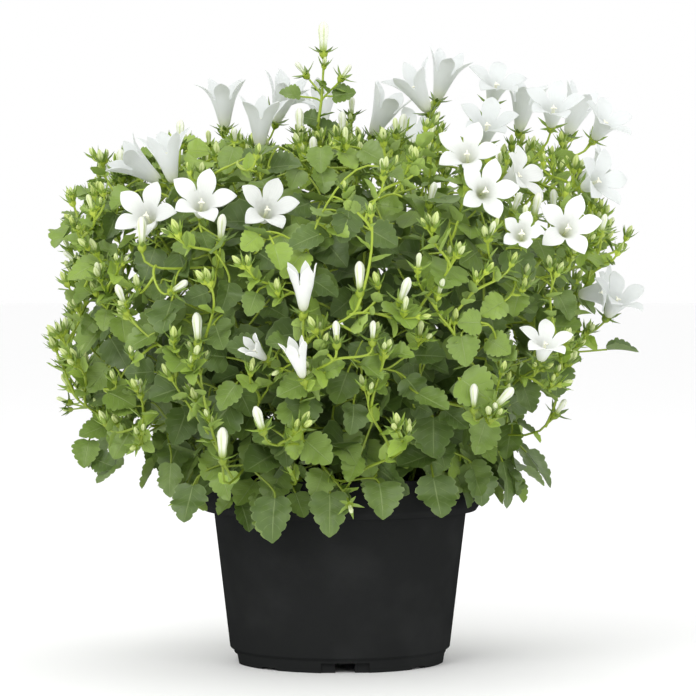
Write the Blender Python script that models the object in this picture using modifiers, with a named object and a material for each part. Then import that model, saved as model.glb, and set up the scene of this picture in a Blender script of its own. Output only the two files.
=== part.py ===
# A white bellflower growing in a black plastic nursery pot.
#
# The pot stands on z = 0 with its axis on the Z axis. The front of the plant is on the -Y side and
# +X is to the right. Every length below is in millimetres and is brought to metres by MM when a
# mesh is made. An azimuth of 0 degrees faces the front, 90 the right and 180 the back.
#
# The plant grows by a rule: each shoot has a main stem, and side stems run from its joints to the
# flowers, buds and leaves that are the shoot's own, by ways that keep clear of the other shoots.

import random
from math import cos, radians, sin, tau

import bmesh
import bpy
import numpy as np
from mathutils import Matrix, Vector
from mathutils.bvhtree import BVHTree

MM = 0.001
GAP = 0.3  # clearance between pieces that touch on the real plant

# Pot
RIM_R, POT_H = 60.0, 80.0  # a 12 cm pot
BAND_LOW, BAND_LOW_R = 67.0, 59.5  # bottom edge of the upright rim band
BAND_LIP = 1.6  # how far the band's underside runs in before it meets the shoulder
SHOULDER_Z, SHOULDER_R = 63.6, 53.6  # where the body meets the rim's underside
BODY_LOW_Z, BODY_LOW_R = 6.4, 46.8  # where the body ends in a small chamfer
CHAMFER_W, CHAMFER_H = 1.6, 1.2
FOOT_R, FOOT_IN_R = 44.3, 40.4  # foot ring that the pot stands on
WALL, FLOOR_LOW, FLOOR_TOP = 1.1, 4.6, 6.2
POT_SIDES = 36
RECESS_W, RECESS_H, RECESS_DEPTH = 20.2, 4.2, 1.9  # outer recess at each main drainage notch
ARCH_W, ARCH_TOP = 8.1, 3.9  # the opening through the rest of the foot ring
NOTCH_W, NOTCH_H = 8.5, 1.0  # shallow notches between the main ones
RECESS_TURN, NOTCH_TURN, DRAIN_TURN = 3.0, 48.0, 25.0  # azimuth of the first of each four
DRAIN_R, DRAIN_RING_R, DRAIN_SIDES = 4.2, 30.0, 8

# Soil
SOIL_Z, SOIL_DOME = 72.0, 1.2
HOLE_DEPTH, HOLE_R, HOLE_SIDES = 9.0, 1.8, 6  # a plain hole for each main stem

# Stems
STEM_R, TWIG_R, STALK_R = 1.25, 0.85, 0.6
STEM_JOINTS, TWIG_JOINTS, STALK_JOINTS = 6, 4, 3
MOST_BEND = 65.0  # the sharpest turn at a joint, in degrees
ROOT_SHIFT = 0.15  # a side stem leaves its parent this share of the way past a joint
STEM_ROOM, FLOWER_ROOM = 3.0, 2.0  # how far stems keep from other shoots' stems and from flowers
WAYS_TRIED = 36
SHORTEST_EDGE = 0.5  # edges shorter than this are merged away where stalks join

# Shoots stand in two rings: how many, the ring's radius, the azimuth of its first shoot, and where
# a shoot that carries no flowers has its head, as (radius, height)
RINGS = {"in": (5, 11.0, 20.0, (34.0, 190.0)), "out": (10, 31.0, 0.0, (86.0, 168.0))}
INNER_R, INNER_SPREAD = 24.0, 0.27  # the inner ring's share of the plant widens with height

# Foliage envelope: (radius, height) of the leafy mass, from under the rim's edge to its flat top
ENVELOPE = [
    (66, 70), (82, 78), (100, 90), (111, 106), (117, 132),
    (118, 182), (111, 202), (94, 214), (55, 220), (0, 223),
]
GOLDEN_ANGLE = 137.508

# Flowers
# Each form: tube length, throat radius, lobe length, lobe half width, lean of the lobes in degrees
FORMS = {
    "star": (10.0, 4.4, 10.2, 4.1, 62),
    "bell": (12.5, 5.2, 11.5, 3.9, 24),
    "half": (11.5, 4.0, 9.5, 3.0, 7),
    "cup": (7.0, 3.8, 6.0, 3.0, 50),
}
PETAL = 0.65  # thickness
FOOT_OF_BELL_R, FOOT_OF_BELL_Z = 2.2, 0.7
CUP_LENGTH, CUP_R = 3.2, 2.1  # the green ovary under a flower
SEPAL, BUD_SEPAL = 5.8, 4.6

# Open flowers: name, foot of the flower (x, y, z), azimuth and elevation that it faces, form
BLOOMS = [
    ("front_a", (-56, -68, 188), 5, 32, "star"),
    ("front_b", (-31, -66, 186), 14, 28, "star"),
    ("front_c", (-76, -55, 184), -14, 26, "star"),
    ("left_d", (-68, -50, 202), -50, 74, "bell"),
    ("left_e", (-75, -26, 203), -78, 36, "bell"),
    ("top_a", (-50, 28, 228), -20, 82, "bell"),
    ("top_b", (-34, -8, 218), 20, 82, "bell"),
    ("top_c", (-28, 36, 231), 40, 64, "bell"),
    ("top_d", (-30, 62, 238), 75, 40, "star"),
    ("top_e", (37, -12, 233), -60, 58, "bell"),
    ("top_f", (42, 22, 240), 50, 70, "bell"),
    ("top_g", (64, -2, 237), 20, 52, "star"),
    ("top_h", (14, 30, 225), 65, 62, "bell"),
    ("right_a", (52, -62, 208), -5, 30, "star"),
    ("right_b", (56, -84, 196), 10, 8, "star"),
    ("right_c", (60, -26, 219), 10, 48, "star"),
    ("right_d", (66, -50, 200), 55, 28, "star"),
    ("right_e", (77, 14, 226), 40, 76, "bell"),
    ("right_f", (88, -26, 226), 5, 48, "star"),
    ("right_g", (100, 46, 226), 60, 66, "bell"),
    ("right_h", (108, 0, 222), 38, 45, "star"),
    ("right_i", (100, -40, 200), 40, 16, "star"),
    ("right_j", (104, 30, 205), 85, 30, "star"),
    ("right_k", (90, -70, 180), 8, 18, "star"),
    ("right_l", (72, -90, 178), -2, 22, "cup"),
    ("side_a", (102, 6, 156), 70, 4, "star"),
    ("side_b", (111, -32, 147), 36, 48, "star"),
    ("low_a", (80, -86, 130), -8, 42, "star"),
    ("low_b", (-14, -110, 150), 0, 78, "half"),
    ("low_c", (-14, -114, 124), -40, 68, "half"),
    ("low_d", (-29, -100, 131), -38, 30, "half"),
    ("back_a", (32, 84, 222), 165, 45, "star"),
    ("back_b", (-8, 80, 230), 190, 66, "bell"),
    ("back_c", (-62, 74, 210), 215, 35, "star"),
    ("back_d", (-94, 34, 196), 250, 30, "star"),
    ("back_e", (76, 80, 204), 140, 30, "star"),
    ("back_f", (-32, 102, 180), 195, 20, "star"),
    ("back_g", (46, 104, 166), 155, 30, "star"),
]

# White buds: foot of the bud (x, y, z), azimuth and elevation, length
BUDS = [
    ((-7, 0, 259), 20, 88, 13.4), ((-15, 5, 250), -70, 50, 7), ((1, -5, 248), 60, 50, 7),
    ((-17, -12, 224), -10, 85, 11), ((-11, -35, 212), 0, 80, 10), ((-66, -34, 219), 10, 84, 10),
    ((-92, -8, 206), -30, 84, 12), ((1, -7, 224), 0, 80, 10), ((5, 8, 233), 20, 86, 8),
    ((-47, -88, 178), 20, 76, 11), ((-79, -78, 176), -10, 84, 12), ((26, -8, 222), 30, 78, 11),
    ((36, -84, 193), 40, 70, 9), ((70, -68, 190), 40, 60, 9), ((78, -78, 188), 30, 70, 10),
    ((88, -42, 190), 0, 88, 10), ((-44, -18, 220), 0, 60, 7), ((107, -52, 182), 30, 70, 8),
    ((8, -112, 158), -10, 84, 12), ((24, -111, 154), 35, 60, 11), ((-1, -115, 138), -15, 80, 9),
    ((13, -113, 139), 10, 80, 8), ((-30, -111, 104), -30, 60, 11), ((-46, -99, 92), 5, 80, 13),
    ((-56, -93, 138), -12, 80, 12), ((-66, -87, 158), 50, 25, 9), ((-86, -80, 153), -40, 60, 9),
    ((62, -97, 113), 50, 40, 11), ((53, -97, 112), 0, 80, 10), ((88, -60, 108), 50, 50, 8),
    ((-121, 56, 108), 262, 20, 6), ((-116, 34, 186), 262, 40, 6), ((-112, -8, 170), -80, 40, 7),
    ((4, -78, 72), 10, -30, 6), ((60, 88, 196), 150, 60, 11), ((-20, 108, 158), 190, 40, 10),
    ((-84, 68, 176), 225, 50, 11), ((24, 112, 140), 170, 40, 10), ((96, 62, 158), 125, 50, 10),
    ((-56, 96, 128), 205, 40, 9),
]

# Leaves
BLADE = 0.62  # thickness
LEAF_SIDE = [(0.27, -0.09), (0.53, 0.22), (0.40, 0.42), (0.43, 0.60)]  # half outline, with its teeth
LEAF_FOLD = 0.25  # how much each half of the blade rises from the rib
LEAF_DROOP = 0.05  # how much the tip hangs

# Leaves that give the plant its outline: foot (x, y, z), azimuth and elevation of the tip, length
OUTLINE_LEAVES = [
    ((-96, 20, 158), -100, -8, 19), ((-98, 30, 92), -100, -40, 17), ((-92, -20, 88), -70, -50, 15),
    ((-70, -34, 86), -50, -80, 14), ((-60, -52, 78), -30, -62, 16), ((-26, -68, 74), -15, -66, 18),
    ((-4, -70, 76), 0, -60, 18), ((16, -69, 80), 15, -58, 15), ((38, -62, 82), 20, -64, 18),
    ((56, -44, 84), 40, -66, 15), ((68, -24, 86), 70, -72, 19), ((80, 8, 88), 85, -50, 18),
    ((112, -20, 133), 84, 6, 13), ((-17, -2, 240), -80, 12, 9), ((4, -3, 241), 80, 10, 10),
    ((-112, 10, 186), -85, 20, 8), ((40, 66, 82), 150, -60, 17), ((0, 74, 80), 180, -62, 17),
    ((-40, 64, 82), 212, -60, 17), ((78, 50, 90), 120, -50, 17), ((-78, 58, 92), 235, -50, 17),
]
LEAF_SPOTS = 300  # evenly spread places for leaves on the envelope, counted from the rim upwards
LEAF_STEP = 4  # every fourth of them holds a leaf here
LEAF_SEED = 41
LOW_LEAF, TOP_LEAF, TOP_Z = 18.5, 13.0, 195.0  # leaves are smaller above this height
LEAF_ROOM = 0.35  # how far leaves and buds keep from other nodes


def heading(azimuth, elevation):
    """A direction, from its azimuth and elevation in degrees."""
    a, e = radians(azimuth), radians(elevation)
    return Vector((cos(e) * sin(a), -cos(e) * cos(a), sin(e)))


def bezier(points, t):
    """The point at t on a cubic through four control points."""
    a, b, c, d = points
    s = 1 - t
    return s ** 3 * a + 3 * s * s * t * b + 3 * s * t * t * c + t ** 3 * d


def upright_frame(foot, axis):
    """Stands a shape on foot, with its +Z along axis."""
    return Matrix.Translation(foot) @ axis.to_track_quat("Z", "Y").to_matrix().to_4x4()


def blade_frame(foot, along, face):
    """Lays a shape from foot with its +Y along the blade and its +Z as near to face as it can be."""
    y = along.normalized()
    x = y.cross(face).normalized()
    return Matrix.Translation(foot) @ Matrix((x, y, x.cross(y))).transposed().to_4x4()


# The growth rule

class Line:
    """A stem, side stem or stalk: a curve with a few joints, and its radius at root and tip."""

    def __init__(self, shoot, controls, joints, root_r, tip_r):
        self.shoot = shoot
        self.controls = controls
        self.joints = joints
        self.root_r = root_r
        self.tip_r = tip_r
        self.points = [bezier(controls, i / joints) for i in range(joints + 1)]

    def samples(self, spacing=1.5):
        """Points along the whole curve, close enough together to measure its distance from others."""
        count = max(4, int((self.points[-1] - self.points[0]).length / spacing))
        return [bezier(self.controls, i / count) for i in range(count + 1)]

    def bends_gently(self, axis):
        """True if no joint turns sharply, nor what stands along axis on its tip."""
        ways = [(b - a).normalized() for a, b in zip(self.points, self.points[1:])] + [axis]
        return all(a.dot(b) > cos(radians(MOST_BEND)) for a, b in zip(ways, ways[1:]))

    def tangent(self, i):
        before, after = self.points[max(i - 1, 0)], self.points[min(i + 1, self.joints)]
        return (after - before).normalized()


class Plant:
    """Grows the shoots towards flowers, buds and leaves, keeping each shoot clear of the others."""

    def __init__(self, flowers):
        self.flowers = flowers  # a search tree over the open flowers
        self.crowns, self.rings, self.lines, self.clouds = {}, {}, [], {}
        for ring, (count, radius, turn, _) in RINGS.items():
            for k in range(count):
                azimuth = turn + 360 * k / count
                self.rings[f"shoot_{ring}_{k:02d}"] = (ring, azimuth)
                self.crowns[f"shoot_{ring}_{k:02d}"] = heading(azimuth, 0) * radius

    def shoot_for(self, place):
        """The shoot whose share of the plant holds this place."""
        azimuth = np.degrees(np.arctan2(place.x, -place.y))
        inner = place.xy.length < INNER_R + INNER_SPREAD * (place.z - SOIL_Z)
        names = [name for name, (ring, _) in self.rings.items() if ring == ("in" if inner else "out")]
        return min(names, key=lambda name: abs((azimuth - self.rings[name][1] + 180) % 360 - 180))

    def is_clear(self, line, near_tip):
        """True if the line keeps off the other shoots' stems, the flowers and the pot's rim.

        Within near_tip of its own tip a line may be close to a flower, because it carries one.
        """
        points = line.samples()
        mine = np.array(points)
        for name, cloud in self.clouds.items():
            apart = np.linalg.norm(mine[:, None] - cloud[None], axis=2).min()
            if name != line.shoot and apart < STEM_ROOM:
                return False
        for p in points:
            meets_flower = self.flowers.find_nearest(p, FLOWER_ROOM)[0] is not None
            if meets_flower and (p - line.points[-1]).length > near_tip:
                return False
            if 50 < p.xy.length < RIM_R + 1.5 and p.z < POT_H + 2:
                return False
        return True

    def keep(self, line):
        self.lines.append(line)
        points = np.array(line.samples())
        old = self.clouds.get(line.shoot)
        self.clouds[line.shoot] = points if old is None else np.vstack([old, points])

    def grow_main_stem(self, shoot, head):
        """The main stem, upright out of the soil and bending outwards to the shoot's head."""
        foot = self.crowns[shoot] + Vector((0, 0, SOIL_Z + 1.5))
        out, up = heading(self.rings[shoot][1], 0), Vector((0, 0, 1))
        reach = (head - foot).length
        leaving = foot + (up * 0.35 + out * 0.06) * reach
        arriving = head - (out * 0.25 + up).normalized() * reach * 0.35
        self.keep(Line(shoot, (foot, leaving, arriving, head), STEM_JOINTS, STEM_R, TWIG_R))

    def grow_towards(self, shoot, foot, axis, joints, root_r, near_tip=0.0, upright=1.0):
        """A side stem from a joint of the shoot to foot, arriving along axis, or None if none is free.

        Short ways that turn little are tried first, each straight and then with two random sways.
        """
        starts = []
        for line in self.lines:
            if line.shoot != shoot:
                continue
            for i in range(1, line.joints):
                way = foot - line.points[i]
                lean = way.normalized().dot(line.tangent(i) * upright + axis) + way.normalized().z * 0.3
                starts.append((way.length * (2.0 - 0.6 * lean), len(starts), line, i))
        starts.sort()
        draw = random.Random(round(foot.x * 7 + foot.y * 13 + foot.z * 17))
        for turn in range(WAYS_TRIED):
            _, _, line, i = starts[min(turn // 3, len(starts) - 1)]
            root = line.points[i].lerp(line.points[i + 1], ROOT_SHIFT)
            way = foot - root
            sway = Vector([draw.uniform(-1, 1) for _ in range(3)]) * way.length * 0.25 * min(turn % 3, 1)
            leaving = root + (line.tangent(i) * upright + way.normalized()).normalized() * way.length * 0.35
            arriving = foot - axis * way.length * 0.33
            enough = joints if way.length > 22 else max(2, joints - 1)
            twig = Line(shoot, (root, leaving + sway, arriving, foot), enough, root_r, STALK_R)
            if twig.bends_gently(axis) and self.is_clear(twig, near_tip):
                if root_r > STALK_R:
                    self.keep(twig)
                return twig
        return None


def envelope_spots(count):
    """Places spread evenly over the envelope: azimuth, radius, height, slope of the surface."""
    lengths = [0.0]
    for (r0, z0), (r1, z1) in zip(ENVELOPE, ENVELOPE[1:]):
        lengths.append(lengths[-1] + (r0 + r1) / 2 * np.hypot(r1 - r0, z1 - z0))
    radii, heights = zip(*ENVELOPE)
    for i in range(count):
        share = (i + 0.5) / count * lengths[-1]
        r, z = np.interp(share, lengths, radii), np.interp(share, lengths, heights)
        r_on, z_on = np.interp(share + 300, lengths, radii), np.interp(share + 300, lengths, heights)
        yield i * GOLDEN_ANGLE % 360, r, z, np.degrees(np.arctan2(r - r_on, max(z_on - z, 1e-3)))


def leaf_places():
    """Every leaf: foot, way of the tip, way that its face looks, length."""
    up = Vector((0, 0, 1))
    for place, azimuth, elevation, length in OUTLINE_LEAVES:
        face = heading(azimuth, 0) + up * (0.35 if elevation < -30 else 1.4)
        yield Vector(place), heading(azimuth, elevation), face, length
    draw = random.Random(LEAF_SEED)
    for i, (azimuth, r, z, slope) in enumerate(envelope_spots(LEAF_SPOTS)):
        depth, turn, twist, size = (draw.uniform(-1, 1) for _ in range(4))
        if i % LEAF_STEP:
            continue
        out, aside = heading(azimuth, 0), heading(azimuth + 90, 0)
        normal = out * cos(radians(slope)) + up * sin(radians(slope))
        along = (out * 0.7 - up * (0.75 - 0.6 * max(0, slope) / 90) + aside * turn * 0.9).normalized()
        face = normal + up * 0.35 + aside * 0.3 * twist
        length = (LOW_LEAF if z < TOP_Z else TOP_LEAF) + 2 * size
        foot = out * r + up * z - normal * (4 + 5 * depth) - along * length * 0.6
        yield foot, along, face, length


def grow():
    """The stems of the whole plant, with the stalk of every flower and bud."""
    flowers = bmesh.new()
    for _, place, azimuth, elevation, form in BLOOMS:
        add_bell(flowers, upright_frame(Vector(place), heading(azimuth, elevation)), form)
    plant = Plant(BVHTree.FromBMesh(flowers))
    flowers.free()
    wanted = {name: [] for name in plant.crowns}
    for _, place, azimuth, elevation, _ in BLOOMS:
        foot = Vector(place)
        wanted[plant.shoot_for(foot)].append(foot - heading(azimuth, elevation) * 14)
    for shoot, feet in wanted.items():
        ring, azimuth = plant.rings[shoot]
        if feet:
            head = sum(feet, Vector()) / len(feet) - heading(azimuth, 0) * 8 - Vector((0, 0, 20))
        else:
            radius, height = RINGS[ring][3]
            head = heading(azimuth, 0) * radius + Vector((0, 0, height))
        plant.grow_main_stem(shoot, head)
    cups, buds = [], []
    for name, place, azimuth, elevation, form in BLOOMS:
        foot, axis = Vector(place), heading(azimuth, elevation)
        shoot = plant.shoot_for(foot)
        seat = foot - axis * GAP
        twig = plant.grow_towards(shoot, seat - axis * CUP_LENGTH, axis, TWIG_JOINTS, TWIG_R, near_tip=7)
        cups.append((shoot, seat, axis, twig))
    for place, azimuth, elevation, length in BUDS:
        foot, axis = Vector(place), heading(azimuth, elevation)
        shoot = plant.shoot_for(foot)
        twig = plant.grow_towards(shoot, foot - axis * CUP_LENGTH, axis, STALK_JOINTS, TWIG_R)
        buds.append((shoot, foot, axis, length, twig))
    return plant, cups, buds


# Meshes of the plant's organs, built in millimetres

def add_bell(bm, matrix, form):
    """The outer surface of a five-lobed flower: tube, throat and lobes with a crease down each."""
    tube, throat, lobe, half, lean = FORMS[form]
    run, rise = lobe * sin(radians(lean)), lobe * cos(radians(lean))

    def vert(radius, height, angle, aside=0.0):
        x, y = radius * cos(angle) - aside * sin(angle), radius * sin(angle) + aside * cos(angle)
        return bm.verts.new(matrix @ Vector((x, y, height)))

    foot = vert(0, 0, 0)
    lobes = []
    for k in range(5):
        gap, middle = tau * (k - 0.5) / 5, tau * k / 5
        lobes.append((
            vert(FOOT_OF_BELL_R, FOOT_OF_BELL_Z, gap),
            vert(throat, tube, gap),
            vert(throat * 0.97, tube, middle),
            vert(throat + run / 2, tube + rise / 2 + 0.5, middle, -half),
            vert(throat + run / 2, tube + rise / 2 + 0.5, middle, half),
            vert(throat + run, tube + rise, middle),
        ))
    for k in range(5):
        low, sinus, crease, right, left, tip = lobes[k]
        next_low, next_sinus = lobes[(k + 1) % 5][:2]
        for corners in (
            (foot, next_low, low), (low, crease, sinus), (low, next_low, crease),
            (next_low, next_sinus, crease), (sinus, crease, right), (crease, tip, right),
            (crease, left, tip), (crease, next_sinus, left),
        ):
            bm.faces.new(corners)


def add_rings(bm, points, radii, side, turn=0.0, ring=None, sides=3):
    """Carries a ring of a stem from its tip, points[0], back to its root, where it is closed.

    Without a ring of an organ to grow on from, the tip gets its own ring and is closed too.
    """
    last = len(points) - 1
    for i, p in enumerate(points):
        up = (points[max(i - 1, 0)] - points[min(i + 1, last)]).normalized()
        side = (side - up * side.dot(up)).normalized()
        other = up.cross(side)
        if i or ring is None:
            angles = [turn + tau * k / sides for k in range(sides)]
            low = [bm.verts.new(p + (side * cos(a) + other * sin(a)) * radii[i]) for a in angles]
            if ring is None:
                bm.faces.new(low)
            else:
                for k in range(sides):
                    after = (k + 1) % sides
                    bm.faces.new((low[k], low[after], ring[after], ring[k]))
            ring = low
    bm.faces.new(ring[::-1])


def stalk_radii(line):
    """Radii of a line's points from its tip back to its root."""
    return [line.tip_r + (line.root_r - line.tip_r) * i / line.joints for i in range(line.joints + 1)]


def add_main_stem(bm, line):
    crown = line.points[0]
    points = line.points[::-1] + [Vector((crown.x, crown.y, SOIL_Z - HOLE_DEPTH + GAP))]
    add_rings(bm, points, stalk_radii(line) + [line.root_r], Vector((1, 0, 0)), sides=4)


def add_cup(bm, twig, frame, sepal, bud=0.0):
    """A stalk and the green ovary on it, with five narrow spreading sepals.

    With bud, its length, a closed flower stands in the cup.
    """
    def around(radius, height, share):
        return bm.verts.new(frame @ Vector((radius * cos(tau * share), radius * sin(tau * share), height)))

    neck = [around(STALK_R, -CUP_LENGTH, k / 3) for k in range(3)]
    add_rings(bm, twig.points[::-1], stalk_radii(twig), frame.col[0].xyz, ring=neck)
    rim = [around(CUP_R, 0, k / 10) if k % 2 else around(sepal, sepal / 2, k / 10) for k in range(10)]
    nearest = [neck[round((k + 0.5) * 0.3) % 3] for k in range(10)]
    for k in range(10):
        here, before = nearest[k], nearest[k - 1]
        bm.faces.new((here, rim[(k + 1) % 10], rim[k]))
        if here != before:
            bm.faces.new((before, here, rim[k]))
    belly = [around(bud * 0.15, bud * 0.68, k / 5) for k in range(5)] if bud else []
    top = bm.verts.new(frame @ Vector((0, 0, bud)))
    for k in range(5):
        before, sepal_tip, after = rim[2 * k - 1], rim[2 * k], rim[2 * k + 1]
        bm.faces.new((before, sepal_tip, after))
        if bud:
            here, there = belly[k], belly[(k + 1) % 5]
            bm.faces.new((before, after, here))
            bm.faces.new((after, there, here))
            bm.faces.new((here, there, top))
        else:
            bm.faces.new((before, after, top))


def add_leaf(bm, twig, frame, length):
    """A leaf on its stalk: a toothed blade, folded a little along its rib and BLADE thick."""
    def vert(x, y, z):
        return bm.verts.new(frame @ Vector((x, y, z)))

    right_foot, left_foot = vert(STALK_R, 0, 0), vert(-STALK_R, 0, 0)
    keel = vert(0, 0, -1.5 * STALK_R)
    outline = [(x * length, y * length, x * length * LEAF_FOLD) for x, y in LEAF_SIDE]
    outline += [(0, length, -LEAF_DROOP * length)] + [(-x, y, z) for x, y, z in reversed(outline)]
    top = [vert(x, y, z) for x, y, z in outline]
    under = [vert(x, y, z - BLADE * 1.05) for x, y, z in outline]
    bm.faces.new((left_foot, right_foot, top[4]))
    for sheet, right, left, step in ((top, right_foot, left_foot, 1), (under, keel, keel, -1)):
        for a, b in ((0, 1), (1, 2), (2, 4)):
            bm.faces.new((right, sheet[a], sheet[b])[::step])
            bm.faces.new((left, sheet[8 - b], sheet[8 - a])[::step])
        bm.faces.new((sheet[2], sheet[3], sheet[4])[::step])
        bm.faces.new((sheet[4], sheet[5], sheet[6])[::step])
    for k in range(len(outline) - 1):
        bm.faces.new((top[k], under[k], under[k + 1]))
        bm.faces.new((top[k], under[k + 1], top[k + 1]))
    bm.faces.new((right_foot, keel, under[0]))
    bm.faces.new((right_foot, under[0], top[0]))
    bm.faces.new((left_foot, top[-1], under[-1]))
    bm.faces.new((left_foot, under[-1], keel))
    neck = [right_foot, keel, left_foot]
    add_rings(bm, twig.points[::-1], stalk_radii(twig), frame.col[0].xyz, turn=radians(-30), ring=neck)


def organ(build, *details):
    """One organ as a closed solid of triangles."""
    bm = bmesh.new()
    build(bm, *details)
    bmesh.ops.triangulate(bm, faces=bm.faces)
    return bm


# Scene and materials

def clear_scene():
    for ob in list(bpy.data.objects):
        bpy.data.objects.remove(ob, do_unlink=True)


def new_collection(name):
    group = bpy.data.collections.new(name)
    bpy.context.scene.collection.children.link(group)
    return group


def finish(name, color, roughness):
    """A plain material for a node."""
    mat = bpy.data.materials.new(name)
    mat.use_nodes = True
    surface = mat.node_tree.nodes["Principled BSDF"]
    surface.inputs["Base Color"].default_value = (*color, 1)
    surface.inputs["Roughness"].default_value = roughness
    surface.inputs["Metallic"].default_value = 0.0
    return mat


def object_from(bm, name, group, mat=None):
    """An object from a bmesh in millimetres, brought to metres."""
    bm.transform(Matrix.Scale(MM, 4))
    mesh = bpy.data.meshes.new(name)
    bm.to_mesh(mesh)
    bm.free()
    if mat:
        mesh.materials.append(mat)
    ob = bpy.data.objects.new(name, mesh)
    group.objects.link(ob)
    return ob


# Pot and soil

def turned(name, profile, sides, group, mat):
    """A closed ring of (radius, height) turned round Z. It runs down the outer side first."""
    bm = bmesh.new()
    verts = [bm.verts.new((r, 0, z)) for r, z in profile]
    for here, after in zip(verts, verts[1:] + verts[:1]):
        if here.co.x > 0 or after.co.x > 0:
            bm.edges.new((here, after))
    ob = object_from(bm, name, group, mat)
    screw = ob.modifiers.new("turn", "SCREW")
    screw.axis = "Z"
    screw.angle = tau
    screw.steps = screw.render_steps = sides
    screw.use_merge_vertices = True
    screw.merge_threshold = 0.00002
    return ob


def cutter(bm, name, cutters):
    """A closed solid that only cuts."""
    ob = object_from(bm, name, cutters)
    ob.hide_render = True
    ob.display_type = "WIRE"


def foot_box(width, top, inner_r, outer_r, azimuth):
    """A block that cuts the foot ring from below, between two radii, at azimuth round the pot."""
    below = 1.0
    bm = bmesh.new()
    bmesh.ops.create_cube(bm, size=1.0, matrix=Matrix.Diagonal((width, outer_r - inner_r, top + below, 1)))
    bmesh.ops.translate(bm, verts=bm.verts, vec=(0, -(inner_r + outer_r) / 2, (top - below) / 2))
    bmesh.ops.rotate(bm, verts=bm.verts, matrix=Matrix.Rotation(radians(azimuth), 3, "Z"))
    return bm


def rod(radius, low, high, place, sides):
    """An upright cylinder from low to high at place."""
    bm = bmesh.new()
    matrix = Matrix.Translation((place.x, place.y, (low + high) / 2))
    bmesh.ops.create_cone(
        bm, cap_ends=True, segments=sides, radius1=radius, radius2=radius, depth=high - low, matrix=matrix
    )
    return bm


def cut_with(ob, cutters):
    cut = ob.modifiers.new(cutters.name, "BOOLEAN")
    cut.operation = "DIFFERENCE"
    cut.operand_type = "COLLECTION"
    cut.collection = cutters
    cut.solver = "EXACT"


def inner_wall():
    """The inside of the pot from the floor up to the lip, as (radius, height)."""
    return [
        (BODY_LOW_R - WALL, FLOOR_TOP), (SHOULDER_R - WALL, SHOULDER_Z + WALL),
        (BAND_LOW_R - WALL, BAND_LOW + 1), (RIM_R - WALL, POT_H),
    ]


def make_pot(group):
    """The moulded pot: rim band, tapered body, foot ring with its notches, and drained floor."""
    profile = [
        (RIM_R - 0.4, POT_H), (RIM_R, POT_H - 0.7), (BAND_LOW_R, BAND_LOW),
        (BAND_LOW_R - BAND_LIP, SHOULDER_Z + 0.9), (SHOULDER_R, SHOULDER_Z), (BODY_LOW_R, BODY_LOW_Z),
        (BODY_LOW_R - CHAMFER_W, BODY_LOW_Z - CHAMFER_H), (FOOT_R, 0), (FOOT_IN_R, 0),
        (FOOT_IN_R, FLOOR_LOW), (0, FLOOR_LOW), (0, FLOOR_TOP),
    ] + inner_wall()
    pot = turned("pot", profile, POT_SIDES, group, finish("black plastic", (0.012, 0.012, 0.012), 0.45))
    cutters = new_collection("pot cutters")
    recess_floor, beyond, inside = FOOT_R - RECESS_DEPTH, FOOT_R + 6, FOOT_IN_R - 6
    for k in range(4):
        turn = RECESS_TURN + 90 * k
        cutter(foot_box(RECESS_W, RECESS_H, recess_floor, beyond, turn), f"recess_{k}", cutters)
        cutter(foot_box(ARCH_W, ARCH_TOP, inside, recess_floor + 0.5, turn), f"arch_{k}", cutters)
        cutter(foot_box(NOTCH_W, NOTCH_H, inside, beyond, NOTCH_TURN + 90 * k), f"notch_{k}", cutters)
        place = heading(DRAIN_TURN + 90 * k, 0) * DRAIN_RING_R
        cutter(rod(DRAIN_R, FLOOR_LOW - 1, FLOOR_TOP + 1, place, DRAIN_SIDES), f"drain_{k}", cutters)
    cut_with(pot, cutters)
    return pot


def make_soil(group, crowns):
    """The root ball that fills the pot, with a plain hole for each main stem."""
    side = [(r - GAP, z + GAP) for r, z in inner_wall()[:-1]]
    top = [(0, SOIL_Z + SOIL_DOME), (BAND_LOW_R - WALL - GAP, SOIL_Z)]
    profile = top + side[::-1] + [(0, FLOOR_TOP + GAP)]
    soil = turned("soil", profile, POT_SIDES // 2, group, finish("potting soil", (0.03, 0.018, 0.011), 0.95))
    cutters = new_collection("stem holes")
    for shoot, crown in crowns.items():
        hole = rod(HOLE_R, SOIL_Z - HOLE_DEPTH, SOIL_Z + 2 * SOIL_DOME, crown, HOLE_SIDES)
        cutter(hole, "hole_" + shoot, cutters)
    cut_with(soil, cutters)


# The plant's solids

class Space:
    """Where solids already are, so that a leaf or bud that would cross another node is left out."""

    def __init__(self):
        self.taken = []

    def add(self, node, bm):
        points = np.array([v.co[:] for v in bm.verts])
        self.taken.append((node, points.min(0), points.max(0), BVHTree.FromBMesh(bm)))

    def meets(self, node, bm):
        """True if bm, grown by LEAF_ROOM, would cross another node."""
        fat = bm.copy()
        fat.normal_update()
        for v in fat.verts:
            v.co += v.normal * LEAF_ROOM
        points = np.array([v.co[:] for v in fat.verts])
        low, high, tree = points.min(0), points.max(0), BVHTree.FromBMesh(fat)
        fat.free()
        for other, other_low, other_high, there in self.taken:
            near = (low < other_high).all() and (other_low < high).all()
            if other != node and near and tree.overlap(there):
                return True
        return False


def crosses_itself(bm):
    """True if two faces of bm that share no corner cross."""
    tree = BVHTree.FromBMesh(bm)
    bm.faces.ensure_lookup_table()
    return any(
        a < b and not set(bm.faces[a].verts) & set(bm.faces[b].verts) for a, b in tree.overlap(tree)
    )


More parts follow.
